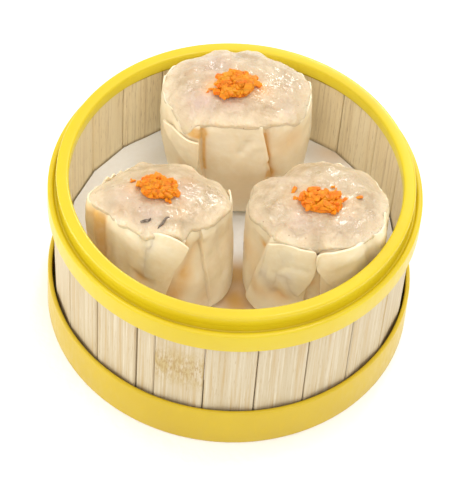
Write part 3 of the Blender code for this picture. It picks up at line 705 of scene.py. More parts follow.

# %% [markdown]
# The dough has more than the folds: soft valleys beside them, dimples, a few bulges, and brown hollows,
# partly a wet stain and partly painted shade. Each is a short stroke on the wall between two places, given
# as direction and height, with a depth and a half width. Stains and painted shade have a place, a size and a
# strength.

# %% Strokes, stains, painted shade and torn places on the dough
# stroke: start, end, depth (negative sinks), half width
# stain and painted shade: direction, height, size, strength, and where a long one ends
# torn: direction, drop of the lip, half width, and the only side of the first fold that it touches
# ragged: direction, size of the bites in the lip, half width
DETAILS = {
    "back": {
        "strokes": [((301, 0.0339), (304.5, 0.0210), -0.0006, 0.0006),
                    ((304.5, 0.0210), (306, 0.0140), -0.0015, 0.0013),
                    ((279, 0.0258), (284, 0.0288), -0.0006, 0.0013),
                    ((287, 0.0262), (289, 0.0280), 0.0005, 0.0016),
                    ((262, 0.0200), (266, 0.0120), -0.0004, 0.0030),
                    ((325, 0.0290), (332, 0.0180), -0.0006, 0.0022)],
        "stains_and_shade": [(230, 0.0308, 0.0014, 2.5, 239.5, 0.0308), (242.0, 0.0290, 0.0005, 1.0, 242.6, 0.0175),
                   (301, 0.0315, 0.0005, 1.0, 306, 0.0200), (306, 0.0165, 0.0014, 1.6),
                   (325, 0.0265, 0.0045, 0.5), (222, 0.0165, 0.0020, 0.4), (280, 0.0080, 0.0080, 0.35)],
        "fold_shade": (0.35, 0.8),
        "torn": (227, -0.0022, 6, -1),
        "ragged": [(180, 0.0006, 30), (5, 0.0006, 30), (100, 0.0003, 60)],
    },
    "left": {
        "strokes": [((316, 0.0271), (300.5, 0.0185), -0.0012, 0.0022),
                    ((316, 0.0141), (318, 0.0125), 0.0009, 0.0028),
                    ((257.4, 0.0325), (261, 0.0270), -0.0006, 0.0011),
                    ((248, 0.0178), (262, 0.0165), -0.0009, 0.0016),
                    ((232, 0.0290), (238, 0.0120), -0.0005, 0.0025),
                    ((342, 0.0300), (345, 0.0120), -0.0005, 0.0020)],
        "stains_and_shade": [(300, 0.0290, 0.0020, 0.7), (316, 0.0271, 0.0020, 0.45, 300.5, 0.0185),
                   (300.5, 0.0185, 0.0026, 0.45, 290, 0.0110), (255, 0.0180, 0.0025, 0.8),
                   (204, 0.0300, 0.0024, 0.8, 206, 0.0120), (196, 0.0300, 0.0030, 0.6),
                   (290, 0.0120, 0.0040, 0.4), (320, 0.0060, 0.0040, 0.4)],
        "fold_shade": (0.30, 0.12),
        "torn": None,
        "ragged": [(160, 0.0017, 26), (14, 0.0020, 8)],
    },
    "right": {
        "strokes": [((234.7, 0.0210), (250.4, 0.0267), -0.0004, 0.0012),
                    ((250.4, 0.0267), (259, 0.0256), -0.0003, 0.0012),
                    ((252, 0.0222), (256, 0.0230), 0.0003, 0.0024),
                    ((241, 0.0130), (246, 0.0120), -0.0009, 0.0024),
                    ((270, 0.0305), (270, 0.0277), -0.0008, 0.0008),
                    ((292, 0.0260), (300, 0.0275), -0.0006, 0.0022),
                    ((214, 0.0280), (210, 0.0100), -0.0005, 0.0025),
                    ((328, 0.0270), (322, 0.0320), -0.0005, 0.0010)],
        "stains_and_shade": [(219.5, 0.0272, 0.0012, 1.0), (243, 0.0130, 0.0032, 0.7), (270.5, 0.0305, 0.0010, 1.2),
                   (272, 0.0335, 0.0012, 0.7), (268, 0.0200, 0.0015, 0.6), (222, 0.0120, 0.0030, 0.5),
                   (290, 0.0270, 0.0030, 0.25), (200, 0.0200, 0.0040, 0.4)],
        "fold_shade": (0.35, 0.35, 0.35),
        "torn": None,
        "ragged": [(340, 0.0008, 26), (60, 0.0006, 50), (170, 0.0004, 20)],
    },
}
BELT_RADIUS = 0.0175

# %% From measurements to radius and height
EDGE_SOFTNESS = 0.35
EDGE_ROLL = 0.22
EDGE_ROLL_REACH = 1.6
# how the painted shade under each fold's free edge starts and fades, in degrees
FOLD_SHADE_START = -0.3
FOLD_SHADE_REACH = 2.2
RAGGED_RISE = 0.8


def turn_between(direction, centre):
    """Smallest turn from the centre to a direction, from -180 to 180."""
    return (direction - centre + 180.0) % 360.0 - 180.0


def bell(direction, centre, width):
    """1 at the centre, falling to 0 a few half widths away."""
    return np.exp(-(turn_between(direction, centre) / width) ** 2)


def past_edge(over):
    """0 before a free edge and 1 past it, with a short ramp between them."""
    return np.clip(over / EDGE_SOFTNESS + 0.5, 0.0, 1.0)


def fold_direction(fold, height):
    """Where the free edge of a fold is at a height."""
    return fold[0] + (fold[1] - fold[0]) * np.clip(height / FOLD_TOP_HEIGHT, 0.0, 1.0)


def belly_radius(s, direction):
    """Outline from above: a soft rounded square."""
    x = np.cos(np.radians(direction)) / s["half_x"]
    y = np.sin(np.radians(direction)) / s["half_y"]
    turn = math.radians(s["turn"])
    along = np.abs(x * math.cos(turn) + y * math.sin(turn))
    across = np.abs(-x * math.sin(turn) + y * math.cos(turn))
    return (along ** s["squareness"] + across ** s["squareness"]) ** (-1.0 / s["squareness"])


def below_belly(s, height):
    """1 at the foot, falling to 0 at the belly and above it."""
    return 1.0 - np.clip(height / s["belly_height"], 0.0, 1.0)


def plain_radius(s, direction, height):
    """The wall without its folds."""
    share = s["foot"] + (1.0 - s["foot"]) * np.sin((1.0 - below_belly(s, height)) * math.pi / 2)
    over = np.maximum(height / s["belly_height"] - 1.0, 0.0)
    radius = belly_radius(s, direction) * (share - SHOULDER_TUCK * over ** 2)
    left = FOOT_ROUNDING - np.clip(height, 0.0, FOOT_ROUNDING)
    radius = radius - FOOT_ROUNDING + np.sqrt(FOOT_ROUNDING ** 2 - left ** 2)
    run_out = np.clip(height / PLEAT_RUN_OUT, 0.0, 1.0)
    for centre, depth, width in s["pleats"]:
        radius = radius + depth * bell(direction, centre, width) * run_out
    for centre, reach, width in s["toes"]:
        radius = radius + reach * bell(direction, centre, width) * below_belly(s, height)
    return radius


def along_stroke(direction, height, start, end, width):
    """1 on a stroke over the wall, falling to 0 a few half widths away."""
    x = np.radians(turn_between(direction, start[0])) * BELT_RADIUS
    y = height - start[1]
    to_x = math.radians(turn_between(end[0], start[0])) * BELT_RADIUS
    to_y = end[1] - start[1]
    share = np.clip((x * to_x + y * to_y) / (to_x ** 2 + to_y ** 2), 0.0, 1.0)
    return np.exp(-((x - share * to_x) ** 2 + (y - share * to_y) ** 2) / width ** 2)


def wall_radius(s, direction, height):
    """The wall with its folds: it steps outwards on the raised side of each free edge."""
    relief = 0.0
    for start, end, depth, width in s["strokes"]:
        relief = relief + depth * along_stroke(direction, height, start, end, width)
    for fold in s["folds"]:
        _, _, side, lift, reach, sink = fold
        edge = fold_direction(fold, height)
        over = turn_between(direction, edge) * side
        raised = past_edge(over)
        rolled = 1.0 - EDGE_ROLL * np.exp(-np.maximum(over, 0.0) / EDGE_ROLL_REACH)
        relief = relief + raised * rolled * lift * bell(direction, edge, reach)
        relief = relief - (1.0 - raised) * sink * bell(direction, edge, SINK_WIDTH)
    return plain_radius(s, direction, height) + relief * np.clip(height / FLAP_RUN_OUT, 0.0, 1.0)


def stand_out(s, direction):
    """How far the torn lip stands out above the meat."""
    return sum(amount * bell(direction, centre, width) for centre, amount, width in s["ragged"])


def lip_height(s, direction):
    """Height of the dough's upper edge over the liner."""
    height = s["lip"] - s["slope"] * belly_radius(s, direction) * np.sin(np.radians(direction))
    for centre, change, width in s["lip_changes"]:
        height = height + change * bell(direction, centre, width)
    if s["torn"] is not None:
        centre, change, width, side = s["torn"]
        over = turn_between(direction, fold_direction(s["folds"][0], height)) * side
        height = height + change * bell(direction, centre, width) * past_edge(over)
    return height + RAGGED_RISE * stand_out(s, direction)


def stain_and_shade_at(s, direction, height):
    """How brown the dough is painted: partly wet stains, and painted shade in hollows and under each fold's
    edge.
    """
    stain_and_shade = np.zeros(np.shape(direction))
    for where, level, size, strength, *end in s["stains_and_shade"]:
        end = end or (where, level + 0.0001)
        stain_and_shade = stain_and_shade + strength * along_stroke(direction, height, (where, level), end, size)
    # Painted shade on the sunk side of each fold's free edge, fading away from it.
    for fold, strength in zip(s["folds"], s["fold_shade"]):
        under = turn_between(direction, fold_direction(fold, height)) * -fold[2]
        fading = strength * np.exp(-np.maximum(under, 0.0) / FOLD_SHADE_REACH)
        stain_and_shade = stain_and_shade + np.where(under > FOLD_SHADE_START, fading, 0.0)
    return np.clip(stain_and_shade, 0.0, 1.0)


def middle_of(s, height):
    """The siomay's middle at a height: below the belly it moves towards the foot."""
    share = below_belly(s, height)
    return s["centre"][0] + s["foot_shift"][0] * share, s["centre"][1] + s["foot_shift"][1] * share


# %% Lumps and dents from noise
CREASE_WIDTH = 0.35
OVER_THE_LIP = 0.0003
DOME_EXTRA = 0.0005
DOME_SHOULDER = 0.65


def in_lumps(x, y, z, size, seed):
    """The places one by one, measured in lumps of the given size."""
    flat = zip(np.ravel(x) / size + seed, np.ravel(y) / size + seed, np.ravel(z) / size)
    return [Vector(point) for point in flat]


def noise_at(x, y, z, size, seed=0.0):
    """Smooth noise from about -1 to 1 at each place; size is the width of a lump."""
    found = [noise.noise(point) for point in in_lumps(x, y, z, size, seed)]
    return np.array(found).reshape(np.shape(x))


def creases_at(x, y, z, size, seed=0.0):
    """0 in the crease between two lumps and up to 1 on them."""
    found = []
    for point in in_lumps(x, y, z, size, seed):
        distances, _ = noise.voronoi(point)
        found.append(min((distances[1] - distances[0]) / CREASE_WIDTH, 1.0))
    return np.array(found).reshape(np.shape(x))


def top_height(s, x, y):
    """Height of the meat's domed top over the liner, at a place measured from the siomay's middle."""
    direction = np.degrees(np.arctan2(y, x)) % 360.0
    share = np.minimum(np.hypot(x, y) / (belly_radius(s, direction) - FILLING_CLEARANCE), 1.0)
    bulge = np.maximum(1.0 - share ** DOME_POWER, 0.0) ** DOME_SHOULDER
    height = s["lip"] + OVER_THE_LIP - s["slope"] * y + (s["dome"] + DOME_EXTRA) * bulge
    for centre, depth, width in s["low_spots"]:
        height = height + depth * bell(direction, centre, width) * share ** 3
    lumps = noise_at(x + s["centre"][0], y + s["centre"][1], np.zeros(np.shape(x)), LUMP_SIZE)
    return height + LUMP_HEIGHT * lumps * np.sqrt(np.maximum(1.0 - share ** 4, 0.0))


for side, s in SIOMAY.items():
    s.update(DETAILS[side])
    print(side, "is", round(2000 * float(belly_radius(s, 0.0)), 1), "mm wide")

# %% [markdown]
# ## Rolling a grid into a cup
#
# A grid primitive is a flat sheet of quads, just like a square of dough. Rolling it up by moving its
# vertices gives even faces with no pole in sight, and the rows can be spent where the form needs them. The
# seam and the poles are closed afterwards by merging the vertices that meet.

# %% Roll a grid
def rolled_grid(name, columns, rows, place):
    """A closed skin: place(column, row) gives x, y and z for arrays of column and row numbers."""
    deselect_all()
    bpy.ops.mesh.primitive_grid_add(x_subdivisions=columns, y_subdivisions=rows, size=2)
    skin = bpy.context.object
    skin.name = name
    flat = np.empty(len(skin.data.vertices) * 3)
    skin.data.vertices.foreach_get("co", flat)
    across, along, _ = flat.reshape(-1, 3).T
    column = np.rint((across + 1) / 2 * columns).astype(int) % columns
    row = np.rint((along + 1) / 2 * rows).astype(int)
    x, y, z = place(column, row)
    skin.data.vertices.foreach_set("co", np.column_stack((x, y, z)).ravel())
    face_outwards(merge=True)
    smooth_shading(60)
    return skin


# %% [markdown]
# ## Dough wrappers
#
# Steamed dough is soft: its folds are crisp only at their free edges, and everything between is gently
# dented. The columns of the grid are drawn together on both sides of every free edge, at every height, so
# a step of a millimetre needs no denser mesh. The upper edge is torn and wavy, and it is rounded.

# %% Columns that follow the folds
DOUGH_COLUMNS = 330
FOLD_COLUMN_OFFSETS = (-1.0, -0.4, -0.15, 0.15, 0.4, 1.0)


def folded_direction(s, column, height):
    """Direction of each column at a height: even between the folds and tight beside them."""
    spacing = 360.0 / DOUGH_COLUMNS
    half = len(FOLD_COLUMN_OFFSETS) // 2
    numbers, targets = [], []
    for fold in s["folds"]:
        middle = round(float(fold_direction(fold, FOLD_TOP_HEIGHT / 2)) / spacing)
        for i, offset in enumerate(FOLD_COLUMN_OFFSETS):
            numbers.append(middle - half + i)
            targets.append(fold_direction(fold, height) + offset)
    order = np.argsort(numbers)
    numbers = [numbers[i] for i in order]
    targets = [targets[i] for i in order]
    numbers = [numbers[-1] - DOUGH_COLUMNS] + numbers + [numbers[0] + DOUGH_COLUMNS]
    targets = [targets[-1] - 360.0] + targets + [targets[0] + 360.0]
    result = np.zeros(np.shape(column))
    for k in range(len(numbers) - 1):
        for lap in (0, 1):
            share = (column + lap * DOUGH_COLUMNS - numbers[k]) / (numbers[k + 1] - numbers[k])
            target = targets[k] + (targets[k + 1] - targets[k]) * share - lap * 360.0
            result = np.where((share >= 0) & (share < 1), target, result)
    return result


# %% The finished outside of the dough
LIP_RAGGEDNESS = 0.0006
# sizes as shares of the siomay's radius
BITE_SIZE = 0.24
SMALL_BITE_SIZE = 0.10
SCALLOP_SIZE = 0.12
SCALLOP_DEPTH = 2.2
# dents: depth, size, and how much the height is squeezed
DENTS = [(0.00060, 0.0105, 0.6), (0.00040, 0.0060, 0.7), (0.00010, 0.0024, 1.0)]
DENT_RUN_OUT = 0.004


def ragged_lip(s, direction, torn=1.0):
    """The torn upper edge: the lip with bites of two sizes, deeper in some places."""
    x = np.cos(np.radians(direction))
    y = np.sin(np.radians(direction))
    zero = np.zeros(np.shape(direction))
    seed = s["centre"][0] * 1000
    bites = noise_at(x, y, zero, BITE_SIZE, seed) + 0.5 * noise_at(x, y, zero, SMALL_BITE_SIZE, seed)
    scallops = SCALLOP_DEPTH * noise_at(x, y, zero, SCALLOP_SIZE, seed + 6.0)
    return lip_height(s, direction) + LIP_RAGGEDNESS * bites + torn * stand_out(s, direction) * scallops


def dented_radius(s, direction, height):
    """The wall with its folds and the soft dents of steamed dough."""
    radius = wall_radius(s, direction, height)
    turn = np.radians(direction)
    cx, cy = middle_of(s, height)
    x, y = cx + radius * np.cos(turn), cy + radius * np.sin(turn)
    seed = s["centre"][0] * 700
    bumps = sum(depth * noise_at(x, y, height * squeeze, size, seed) for depth, size, squeeze in DENTS)
    return radius + bumps * np.clip(height / DENT_RUN_OUT, 0.0, 1.0)


# %% A wrapper
WALL_ROWS = 96
ROW_CROWDING = 1.15
LIP_ROWS = 6
INNER_ROWS = 12
LIP_THICKNESS = 0.0005
LIP_TAPER_START = 0.92


def wrapper(side):
    """One cup of dough, from the middle of its foot up the wall, over the lip and down inside."""
    s = SIOMAY[side]
    thinned = DOUGH_THICKNESS - LIP_THICKNESS
    # each row: share of the height, share of the radius, inset, rise
    out_rows = [(0.0, share, 0.0, 0.0) for share in (0.0, 0.45, 0.80, 0.93)]
    for i in range(WALL_ROWS + 1):
        share = (i / WALL_ROWS) ** ROW_CROWDING
        taper = min(max((share - LIP_TAPER_START) / (1 - LIP_TAPER_START), 0.0), 1.0)
        out_rows.append((share, 1.0, thinned * taper, 0.0))
    half = LIP_THICKNESS / 2
    lip_rows = []
    for i in range(1, LIP_ROWS):
        turn = math.pi * i / LIP_ROWS
        lip_rows.append((1.0, 1.0, thinned + half * (1 - math.cos(turn)), half * math.sin(turn)))
    in_rows = [(share, 1.0, DOUGH_THICKNESS, 0.0) for share in np.linspace(1.0, 0.10, INNER_ROWS)]
    in_rows += [(0.05, share, DOUGH_THICKNESS, 0.0) for share in (0.9, 0.5, 0.0)]
    profile = np.array(out_rows + lip_rows + in_rows)

    def place(column, row):
        share, reach, inset, rise = profile[row].T
        even = column * 360.0 / DOUGH_COLUMNS
        height = ragged_lip(s, even) * share
        direction = folded_direction(s, column, height)
        height = ragged_lip(s, direction) * share
        turn = np.radians(direction)
        radius = (dented_radius(s, direction, height) - inset) * reach
        cx, cy = middle_of(s, height)
        return cx + radius * np.cos(turn), cy + radius * np.sin(turn), FOOD_FOOT + height + rise

    return rolled_grid(f"dough_{side}", DOUGH_COLUMNS, len(profile) - 1, place)


# %% [markdown]
# Some corners of the dough square lie loose over the wall. A loose corner is a small sheet: a grid bent
# over the wall through nine places, each with its own distance from it, so that one side is sunk in the
# wall and the other stands free, and its edges can curve. Solidify gives it thickness and a bevel softens
# its cut edges.

# %% Loose corners of dough
# three rows from the bottom up, each with its left, middle and right place: direction, height, and
# distance from the wall
FLAPS = {
    "left": [
        [[(240.4, 0.0175, -0.0016), (262.8, 0.0186, 0.0000), (277.8, 0.0186, 0.0008)],
         [(248.8, 0.0248, -0.0016), (274.8, 0.0285, 0.0007), (290.5, 0.0251, 0.0014)],
         [(257.0, 0.0329, -0.0014), (279.5, 0.0369, 0.0004), (298.5, 0.0324, 0.0022)]],
    ],
    "right": [
        [[(215.6, 0.0084, -0.0011), (240.1, 0.0125, -0.0009), (260.1, 0.0150, 0.0002)],
         [(224.4, 0.0206, 0.0002), (246.6, 0.0243, 0.0001), (271.4, 0.0261, 0.0005)],
         [(230.0, 0.0319, 0.0008), (247.6, 0.0343, 0.0002), (268.7, 0.0336, 0.0004)]],
        [[(283.1, 0.0221, 0.0002), (297.3, 0.0196, 0.0001), (332.0, 0.0142, -0.0006)],
         [(271.7, 0.0279, 0.0006), (288.9, 0.0268, 0.0002), (317.6, 0.0240, -0.0005)],
         [(270.7, 0.0328, 0.0006), (285.3, 0.0346, 0.0003), (307.1, 0.0348, -0.0006)]],
    ],
    "back": [
        [[(226.0, 0.0214, 0.0008), (231.7, 0.0193, 0.0002), (241.4, 0.0196, 0.0008)],
         [(214.1, 0.0240, 0.0008), (227.5, 0.0236, 0.0001), (242.1, 0.0245, 0.0009)],
         [(205.7, 0.0285, 0.0006), (223.0, 0.0283, 0.0001), (241.6, 0.0290, 0.0008)]],
    ],
}
FOLD_SHARE = {"left": (0.25, 0.30), "right": (0.40, 0.35, 0.35), "back": (0.40, 0.60)}
FLAP_SUPPORT = np.array([-4.0, -2.0, 0.0, 2.0, 4.0])
FLAP_THICKNESS = 0.0006
FLAP_BEVEL = 0.0002
FLAP_CELLS = 40
FLAP_CURL = 0.00025
FLAP_WAVER = 0.0004


def through_three(first, middle, last, t):
    """A smooth curve that passes through three values at 0, a half and 1."""
    return first * (1 - t) * (1 - 2 * t) + middle * 4 * t * (1 - t) + last * t * (2 * t - 1)


def loose_flap(side, number, flap):
    """One loose corner, bent over the wall through its nine places."""
    s = SIOMAY[side]
    deselect_all()
    bpy.ops.mesh.primitive_grid_add(x_subdivisions=FLAP_CELLS, y_subdivisions=FLAP_CELLS, size=2)
    sheet = bpy.context.object
    sheet.name = f"flap_{side}_{number}"
    rows = [[np.array(spot) for spot in row] for row in flap]
    seed = number * 3.0 + s["centre"][0] * 500
    for vertex in sheet.data.vertices:
        u, v = (vertex.co.x + 1) / 2, (vertex.co.y + 1) / 2
        direction, height, away = through_three(*(through_three(*row, u) for row in rows), v)
        away += FLAP_CURL * noise.noise(Vector((u * 2.2, v * 2.2, seed)))
        height += FLAP_WAVER * noise.noise(Vector((u * 3.0, v * 3.0, 7.0)))
        cx, cy = middle_of(s, height)
        turn = math.radians(direction)
        support = dented_radius(s, direction + FLAP_SUPPORT, np.full(len(FLAP_SUPPORT), height))
        radius = float(np.max(support)) + away
        vertex.co = (cx + radius * math.cos(turn), cy + radius * math.sin(turn), FOOD_FOOT + height)
    face_outwards()
    face = sheet.data.polygons[0]
    outward = face.normal.dot(face.center - Vector((*s["centre"], MIDDLE_OF_FOOD.z))) > 0
    wall = sheet.modifiers.new("dough thickness", "SOLIDIFY")
    wall.thickness = FLAP_THICKNESS
    wall.offset = -1.0 if outward else 1.0
    edge = sheet.modifiers.new("soft edge", "BEVEL")
    edge.width = FLAP_BEVEL
    edge.segments = 2
    edge.limit_method = "ANGLE"
    edge.angle_limit = math.radians(50)
    apply_modifiers(sheet)
    face_outwards()
    smooth_shading(60)
    return sheet


def keep_stain_and_shade(piece, s, share=1.0):
    """Store the stain and painted shade of each vertex, so that the material can read it."""
    places = np.array([vertex.co for vertex in piece.data.vertices])
    height = places[:, 2] - FOOD_FOOT
    cx, cy = middle_of(s, height)
    direction = np.degrees(np.arctan2(places[:, 1] - cy, places[:, 0] - cx)) % 360.0
    stain_and_shade = piece.data.attributes.new("stain_and_shade", "FLOAT", "POINT")
    stain_and_shade.data.foreach_set("value", stain_and_shade_at(s, direction, height) * share)


# %% [markdown]
# Steamed wheat dough is ivory, smooth and slightly see-through, so light goes a few millimetres into it.
# Subsurface scattering gives that depth. The colour drifts to tan where the folds hold moisture and the meat
# shows through where the dough is thin; the tan under each free edge and in the hollows is painted shade.
# Near the foot the dough is painted paler: painted light that lifts the shade low on the wall.

# %% Dough
PAINTED_LIGHT_FOOT_TO_BELLY = (0.026, 0.038)
# share of the stain and painted shade that the loose corners get
FLAP_STAIN_AND_SHADE_SHARE = 0.15


def steamed_dough():
    f = Finish("dough", Coat_Weight=0.08, Coat_Roughness=0.25, Subsurface_Weight=0.30,
               Subsurface_Radius=(0.0016, 0.0012, 0.0008), Subsurface_Scale=1.0)
    broad = f.noise(120.0, 3.0)
    fine = f.noise(700.0, 5.0)
    z, _ = f.height_and_radius()
    # Painted light: the lower wall is painted paler towards the foot, to lift the shade there.
    foot = f.spread(z, *PAINTED_LIGHT_FOOT_TO_BELLY, 0.85, 0.0)
    colour = f.blend(f.spread(broad, 0.35, 0.65), (0.88, 0.745, 0.53), (0.81, 0.665, 0.44))
    colour = f.blend(f.spread(fine, 0.45, 0.7, 0.0, 0.3), colour, (0.91, 0.82, 0.66))
    colour = f.blend(foot, colour, (1.0, 0.91, 0.74))
    # Brown where the stored stain and painted shade is high: partly a wet stain, partly painted shade under
    # folds.
    wet = f.sum("MULTIPLY", f.attribute("stain_and_shade"), f.spread(fine, 0.3, 0.7, 0.7, 1.0))
    colour = f.blend(wet, colour, (0.72, 0.39, 0.09))
    roughness = f.spread(fine, 0.3, 0.7, 0.32, 0.46)
    relief = f.bump(fine, 0.00010, 0.5, over=f.bump(f.noise(260.0, 2.0), 0.0003, 0.5))
    return f.finish(colour, roughness, relief)


dough = steamed_dough()
for side, s in SIOMAY.items():
    shares = zip(s["folds"], FOLD_SHARE[side])
    s["folds"] = [(*fold[:3], fold[3] * share, *fold[4:]) for fold, share in shares]
    piece = wrapper(side)
    keep_stain_and_shade(piece, s)
    flaps = [loose_flap(side, number, flap) for number, flap in enumerate(FLAPS[side])]
    for flap in flaps:
        keep_stain_and_shade(flap, s, FLAP_STAIN_AND_SHADE_SHARE)
    join_pieces(piece, flaps)
    paint(piece, dough)
    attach(piece, "root")
    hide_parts(f"wrapper_{side}")
    report(piece)

# %% [markdown]
# ## Meat filling
#
# The meat is a wet paste of mince, pressed into the cup so that it stands up in a low dome. It comes down
# to the dough's torn edge all round and laps over it in places. It is rolled from a grid as well. Lumps of
# several sizes come from noise, and faint creases between them from cell noise, because a spoon has
# smeared it.

# %% Ledges and mince
# ledges left by the spoon: start, end, drop on the right-hand side
SMEARS = {
    "left": [((-0.0320, -0.0195), (-0.0262, -0.0222), 0.0005),
             ((-0.0262, -0.0226), (-0.0212, -0.0250), 0.0005),
             ((-0.0190, -0.0185), (-0.0120, -0.0205), 0.0004),
             ((-0.0150, -0.0236), (-0.0090, -0.0208), 0.0004)],
    "right": [((0.0085, -0.0190), (0.0148, -0.0218), 0.0006), ((0.0135, -0.0224), (0.0195, -0.0240), 0.0005),
              ((0.0245, -0.0240), (0.0320, -0.0222), 0.0005), ((0.0080, -0.0125), (0.0150, -0.0166), 0.0004),
              ((0.0290, -0.0180), (0.0350, -0.0165), 0.0004)],
    "back": [((-0.0165, 0.0188), (-0.0105, 0.0150), 0.0005), ((-0.0060, 0.0142), (0.0002, 0.0140), 0.0004),
             ((0.0040, 0.0165), (0.0110, 0.0186), 0.0005), ((-0.0130, 0.0250), (-0.0075, 0.0215), 0.0003)],
}
SMEAR_ENDS = 0.0018
SMEAR_STEP = 0.0004
SMEAR_FADE = 0.0025
SMEAR_WAVE = 0.0006
# lumps of mince: height, size, seed
MINCE = [(0.00050, 0.0058, 8.8), (0.00028, 0.0024, 1.7), (0.00012, 0.0011, 5.2)]
CREASE_DEPTH = 0.00015


def smeared(side, x, y):
    """A sharp drop beside each ledge, which fades away behind it."""
    rise = np.zeros(np.shape(x))
    for (x0, y0), (x1, y1), drop in SMEARS[side]:
        length = math.hypot(x1 - x0, y1 - y0)
        along_x, along_y = (x1 - x0) / length, (y1 - y0) / length
        along = (x - x0) * along_x + (y - y0) * along_y
        aside = (x - x0) * along_y - (y - y0) * along_x + SMEAR_WAVE * np.sin(along * 1400.0 + x0 * 900.0)
        within = np.clip(along / SMEAR_ENDS, 0.0, 1.0) * np.clip((length - along) / SMEAR_ENDS, 0.0, 1.0)
        step = np.clip(aside / SMEAR_STEP + 0.5, 0.0, 1.0)
        rise = rise - drop * within * step * np.exp(-np.maximum(aside, 0.0) / SMEAR_FADE)
    return rise


def minced(x, y, z):
    """Lumps of mince in three sizes, with faint creases between them in places."""
    smear = np.clip(0.3 + 1.6 * noise_at(x, y, z, 0.008, 3.1), 0.0, 1.0)
    lumps = sum(height * noise_at(x, y, z, size, seed) for height, size, seed in MINCE)
    return lumps + CREASE_DEPTH * smear * (creases_at(x, y, z, 0.0040, 0.4) - 0.8)


# %% A filling
FILLING_COLUMNS = 300
DOME_ROWS = 76
EDGE_ROWS = 10
EDGE_TUCK = 0.0002
EDGE_LAP = (-0.0003, 0.00015)
EDGE_AVERAGE = range(-6, 7, 2)
EDGE_TURN = 0.6
EDGE_DROP = 0.0006
SAG_POWER = 7
HIDDEN_MEAT = 0.0034
NECK_INSET = 0.0006
NECK_DROP = 0.0012
BARE_LIP_DROP = 1.1
BARE_LIP_INSET = 0.00025


def filling(side):
    """The meat of one siomay, from its hidden foot up the wall, round the edge and over the dome."""
    s = SIOMAY[side]
    rows = [("floor", 0.0), ("floor", 0.8)]
    rows += [("wall", share) for share in (0.06, 0.3, 0.6, 0.85)]
    rows += [("neck", 1.0)]
    rows += [("edge", i / (EDGE_ROWS - 1)) for i in range(EDGE_ROWS)]
    rows += [("dome", math.cos(math.pi / 2 * (i + 1) / DOME_ROWS)) for i in range(DOME_ROWS)]
    kinds = np.array([kind for kind, _ in rows])
    shares = np.array([share for _, share in rows])
    around = np.arange(FILLING_COLUMNS) * 360.0 / FILLING_COLUMNS
    smooth_lip = ragged_lip(s, around, 0.0) - BARE_LIP_DROP * stand_out(s, around)
    outlines = [dented_radius(s, around + turn, smooth_lip) for turn in EDGE_AVERAGE]
    smooth_outline = sum(outlines) / len(outlines)

    def place(column, row):
        kind, share = kinds[row], shares[row]
        direction = column * 360.0 / FILLING_COLUMNS
        turn = np.radians(direction)
        cos, sin = np.cos(turn), np.sin(turn)
        lip, outline = smooth_lip[column], smooth_outline[column]
        # Where the torn lip stands out, the meat stays inside it; elsewhere it may lap over.
        bare = np.clip(1200 * stand_out(s, direction), 0.0, 1.0)
        laps = noise_at(cos, sin, np.full(np.shape(turn), s["centre"][0] * 900), 0.30)
        lap = np.clip(0.40 + 1.5 * laps - bare, 0.0, 1.0)
        edge = outline + EDGE_LAP[0] + (EDGE_LAP[1] - EDGE_LAP[0]) * lap - BARE_LIP_INSET * bare
        height = np.where(kind == "wall", lip * share, DOUGH_THICKNESS + FILLING_CLEARANCE)
        inside = plain_radius(s, direction, height) - HIDDEN_MEAT
        radius = np.where(kind == "floor", (inside - FOOT_ROUNDING / 2) * share, inside)
        radius = np.where(kind == "neck", outline - DOUGH_THICKNESS - NECK_INSET, radius)
        height = np.where(kind == "neck", lip - NECK_DROP, height)
        cx, cy = middle_of(s, height)
        # The edge starts at the dough's lip, and the dome comes down to meet it wherever the lip is low.
        top = lip + 0.0003 + 0.0004 * lap
        low = lip - 0.0002 + 0.0003 * lap
        tuck = np.clip(1.0 - share / EDGE_TURN, 0.0, 1.0)
        climb = low + (top - low) * (share - EDGE_TURN) / 0.4
        climb = np.where(share < EDGE_TURN, low - EDGE_DROP * tuck, climb)
        radius = np.where(kind == "edge", edge - EDGE_TUCK * tuck ** 2, radius)
        height = np.where(kind == "edge", climb, height)
        radius = np.where(kind == "dome", edge * share, radius)
        full = belly_radius(s, direction) - FILLING_CLEARANCE
        dome = top_height(s, full * share * cos, full * share * sin)
        sag = top - top_height(s, full * cos, full * sin)
        height = np.where(kind == "dome", dome + sag * share ** SAG_POWER, height)
        upper = (kind == "dome") | (kind == "edge")
        cx = np.where(upper, s["centre"][0], cx)
        cy = np.where(upper, s["centre"][1], cy)
        x, y, z = cx + radius * cos, cy + radius * sin, FOOD_FOOT + height
        return x, y, z + (minced(x, y, z) + smeared(side, x, y)) * upper

    return rolled_grid(f"meat_{side}", FILLING_COLUMNS, len(rows) - 1, place)


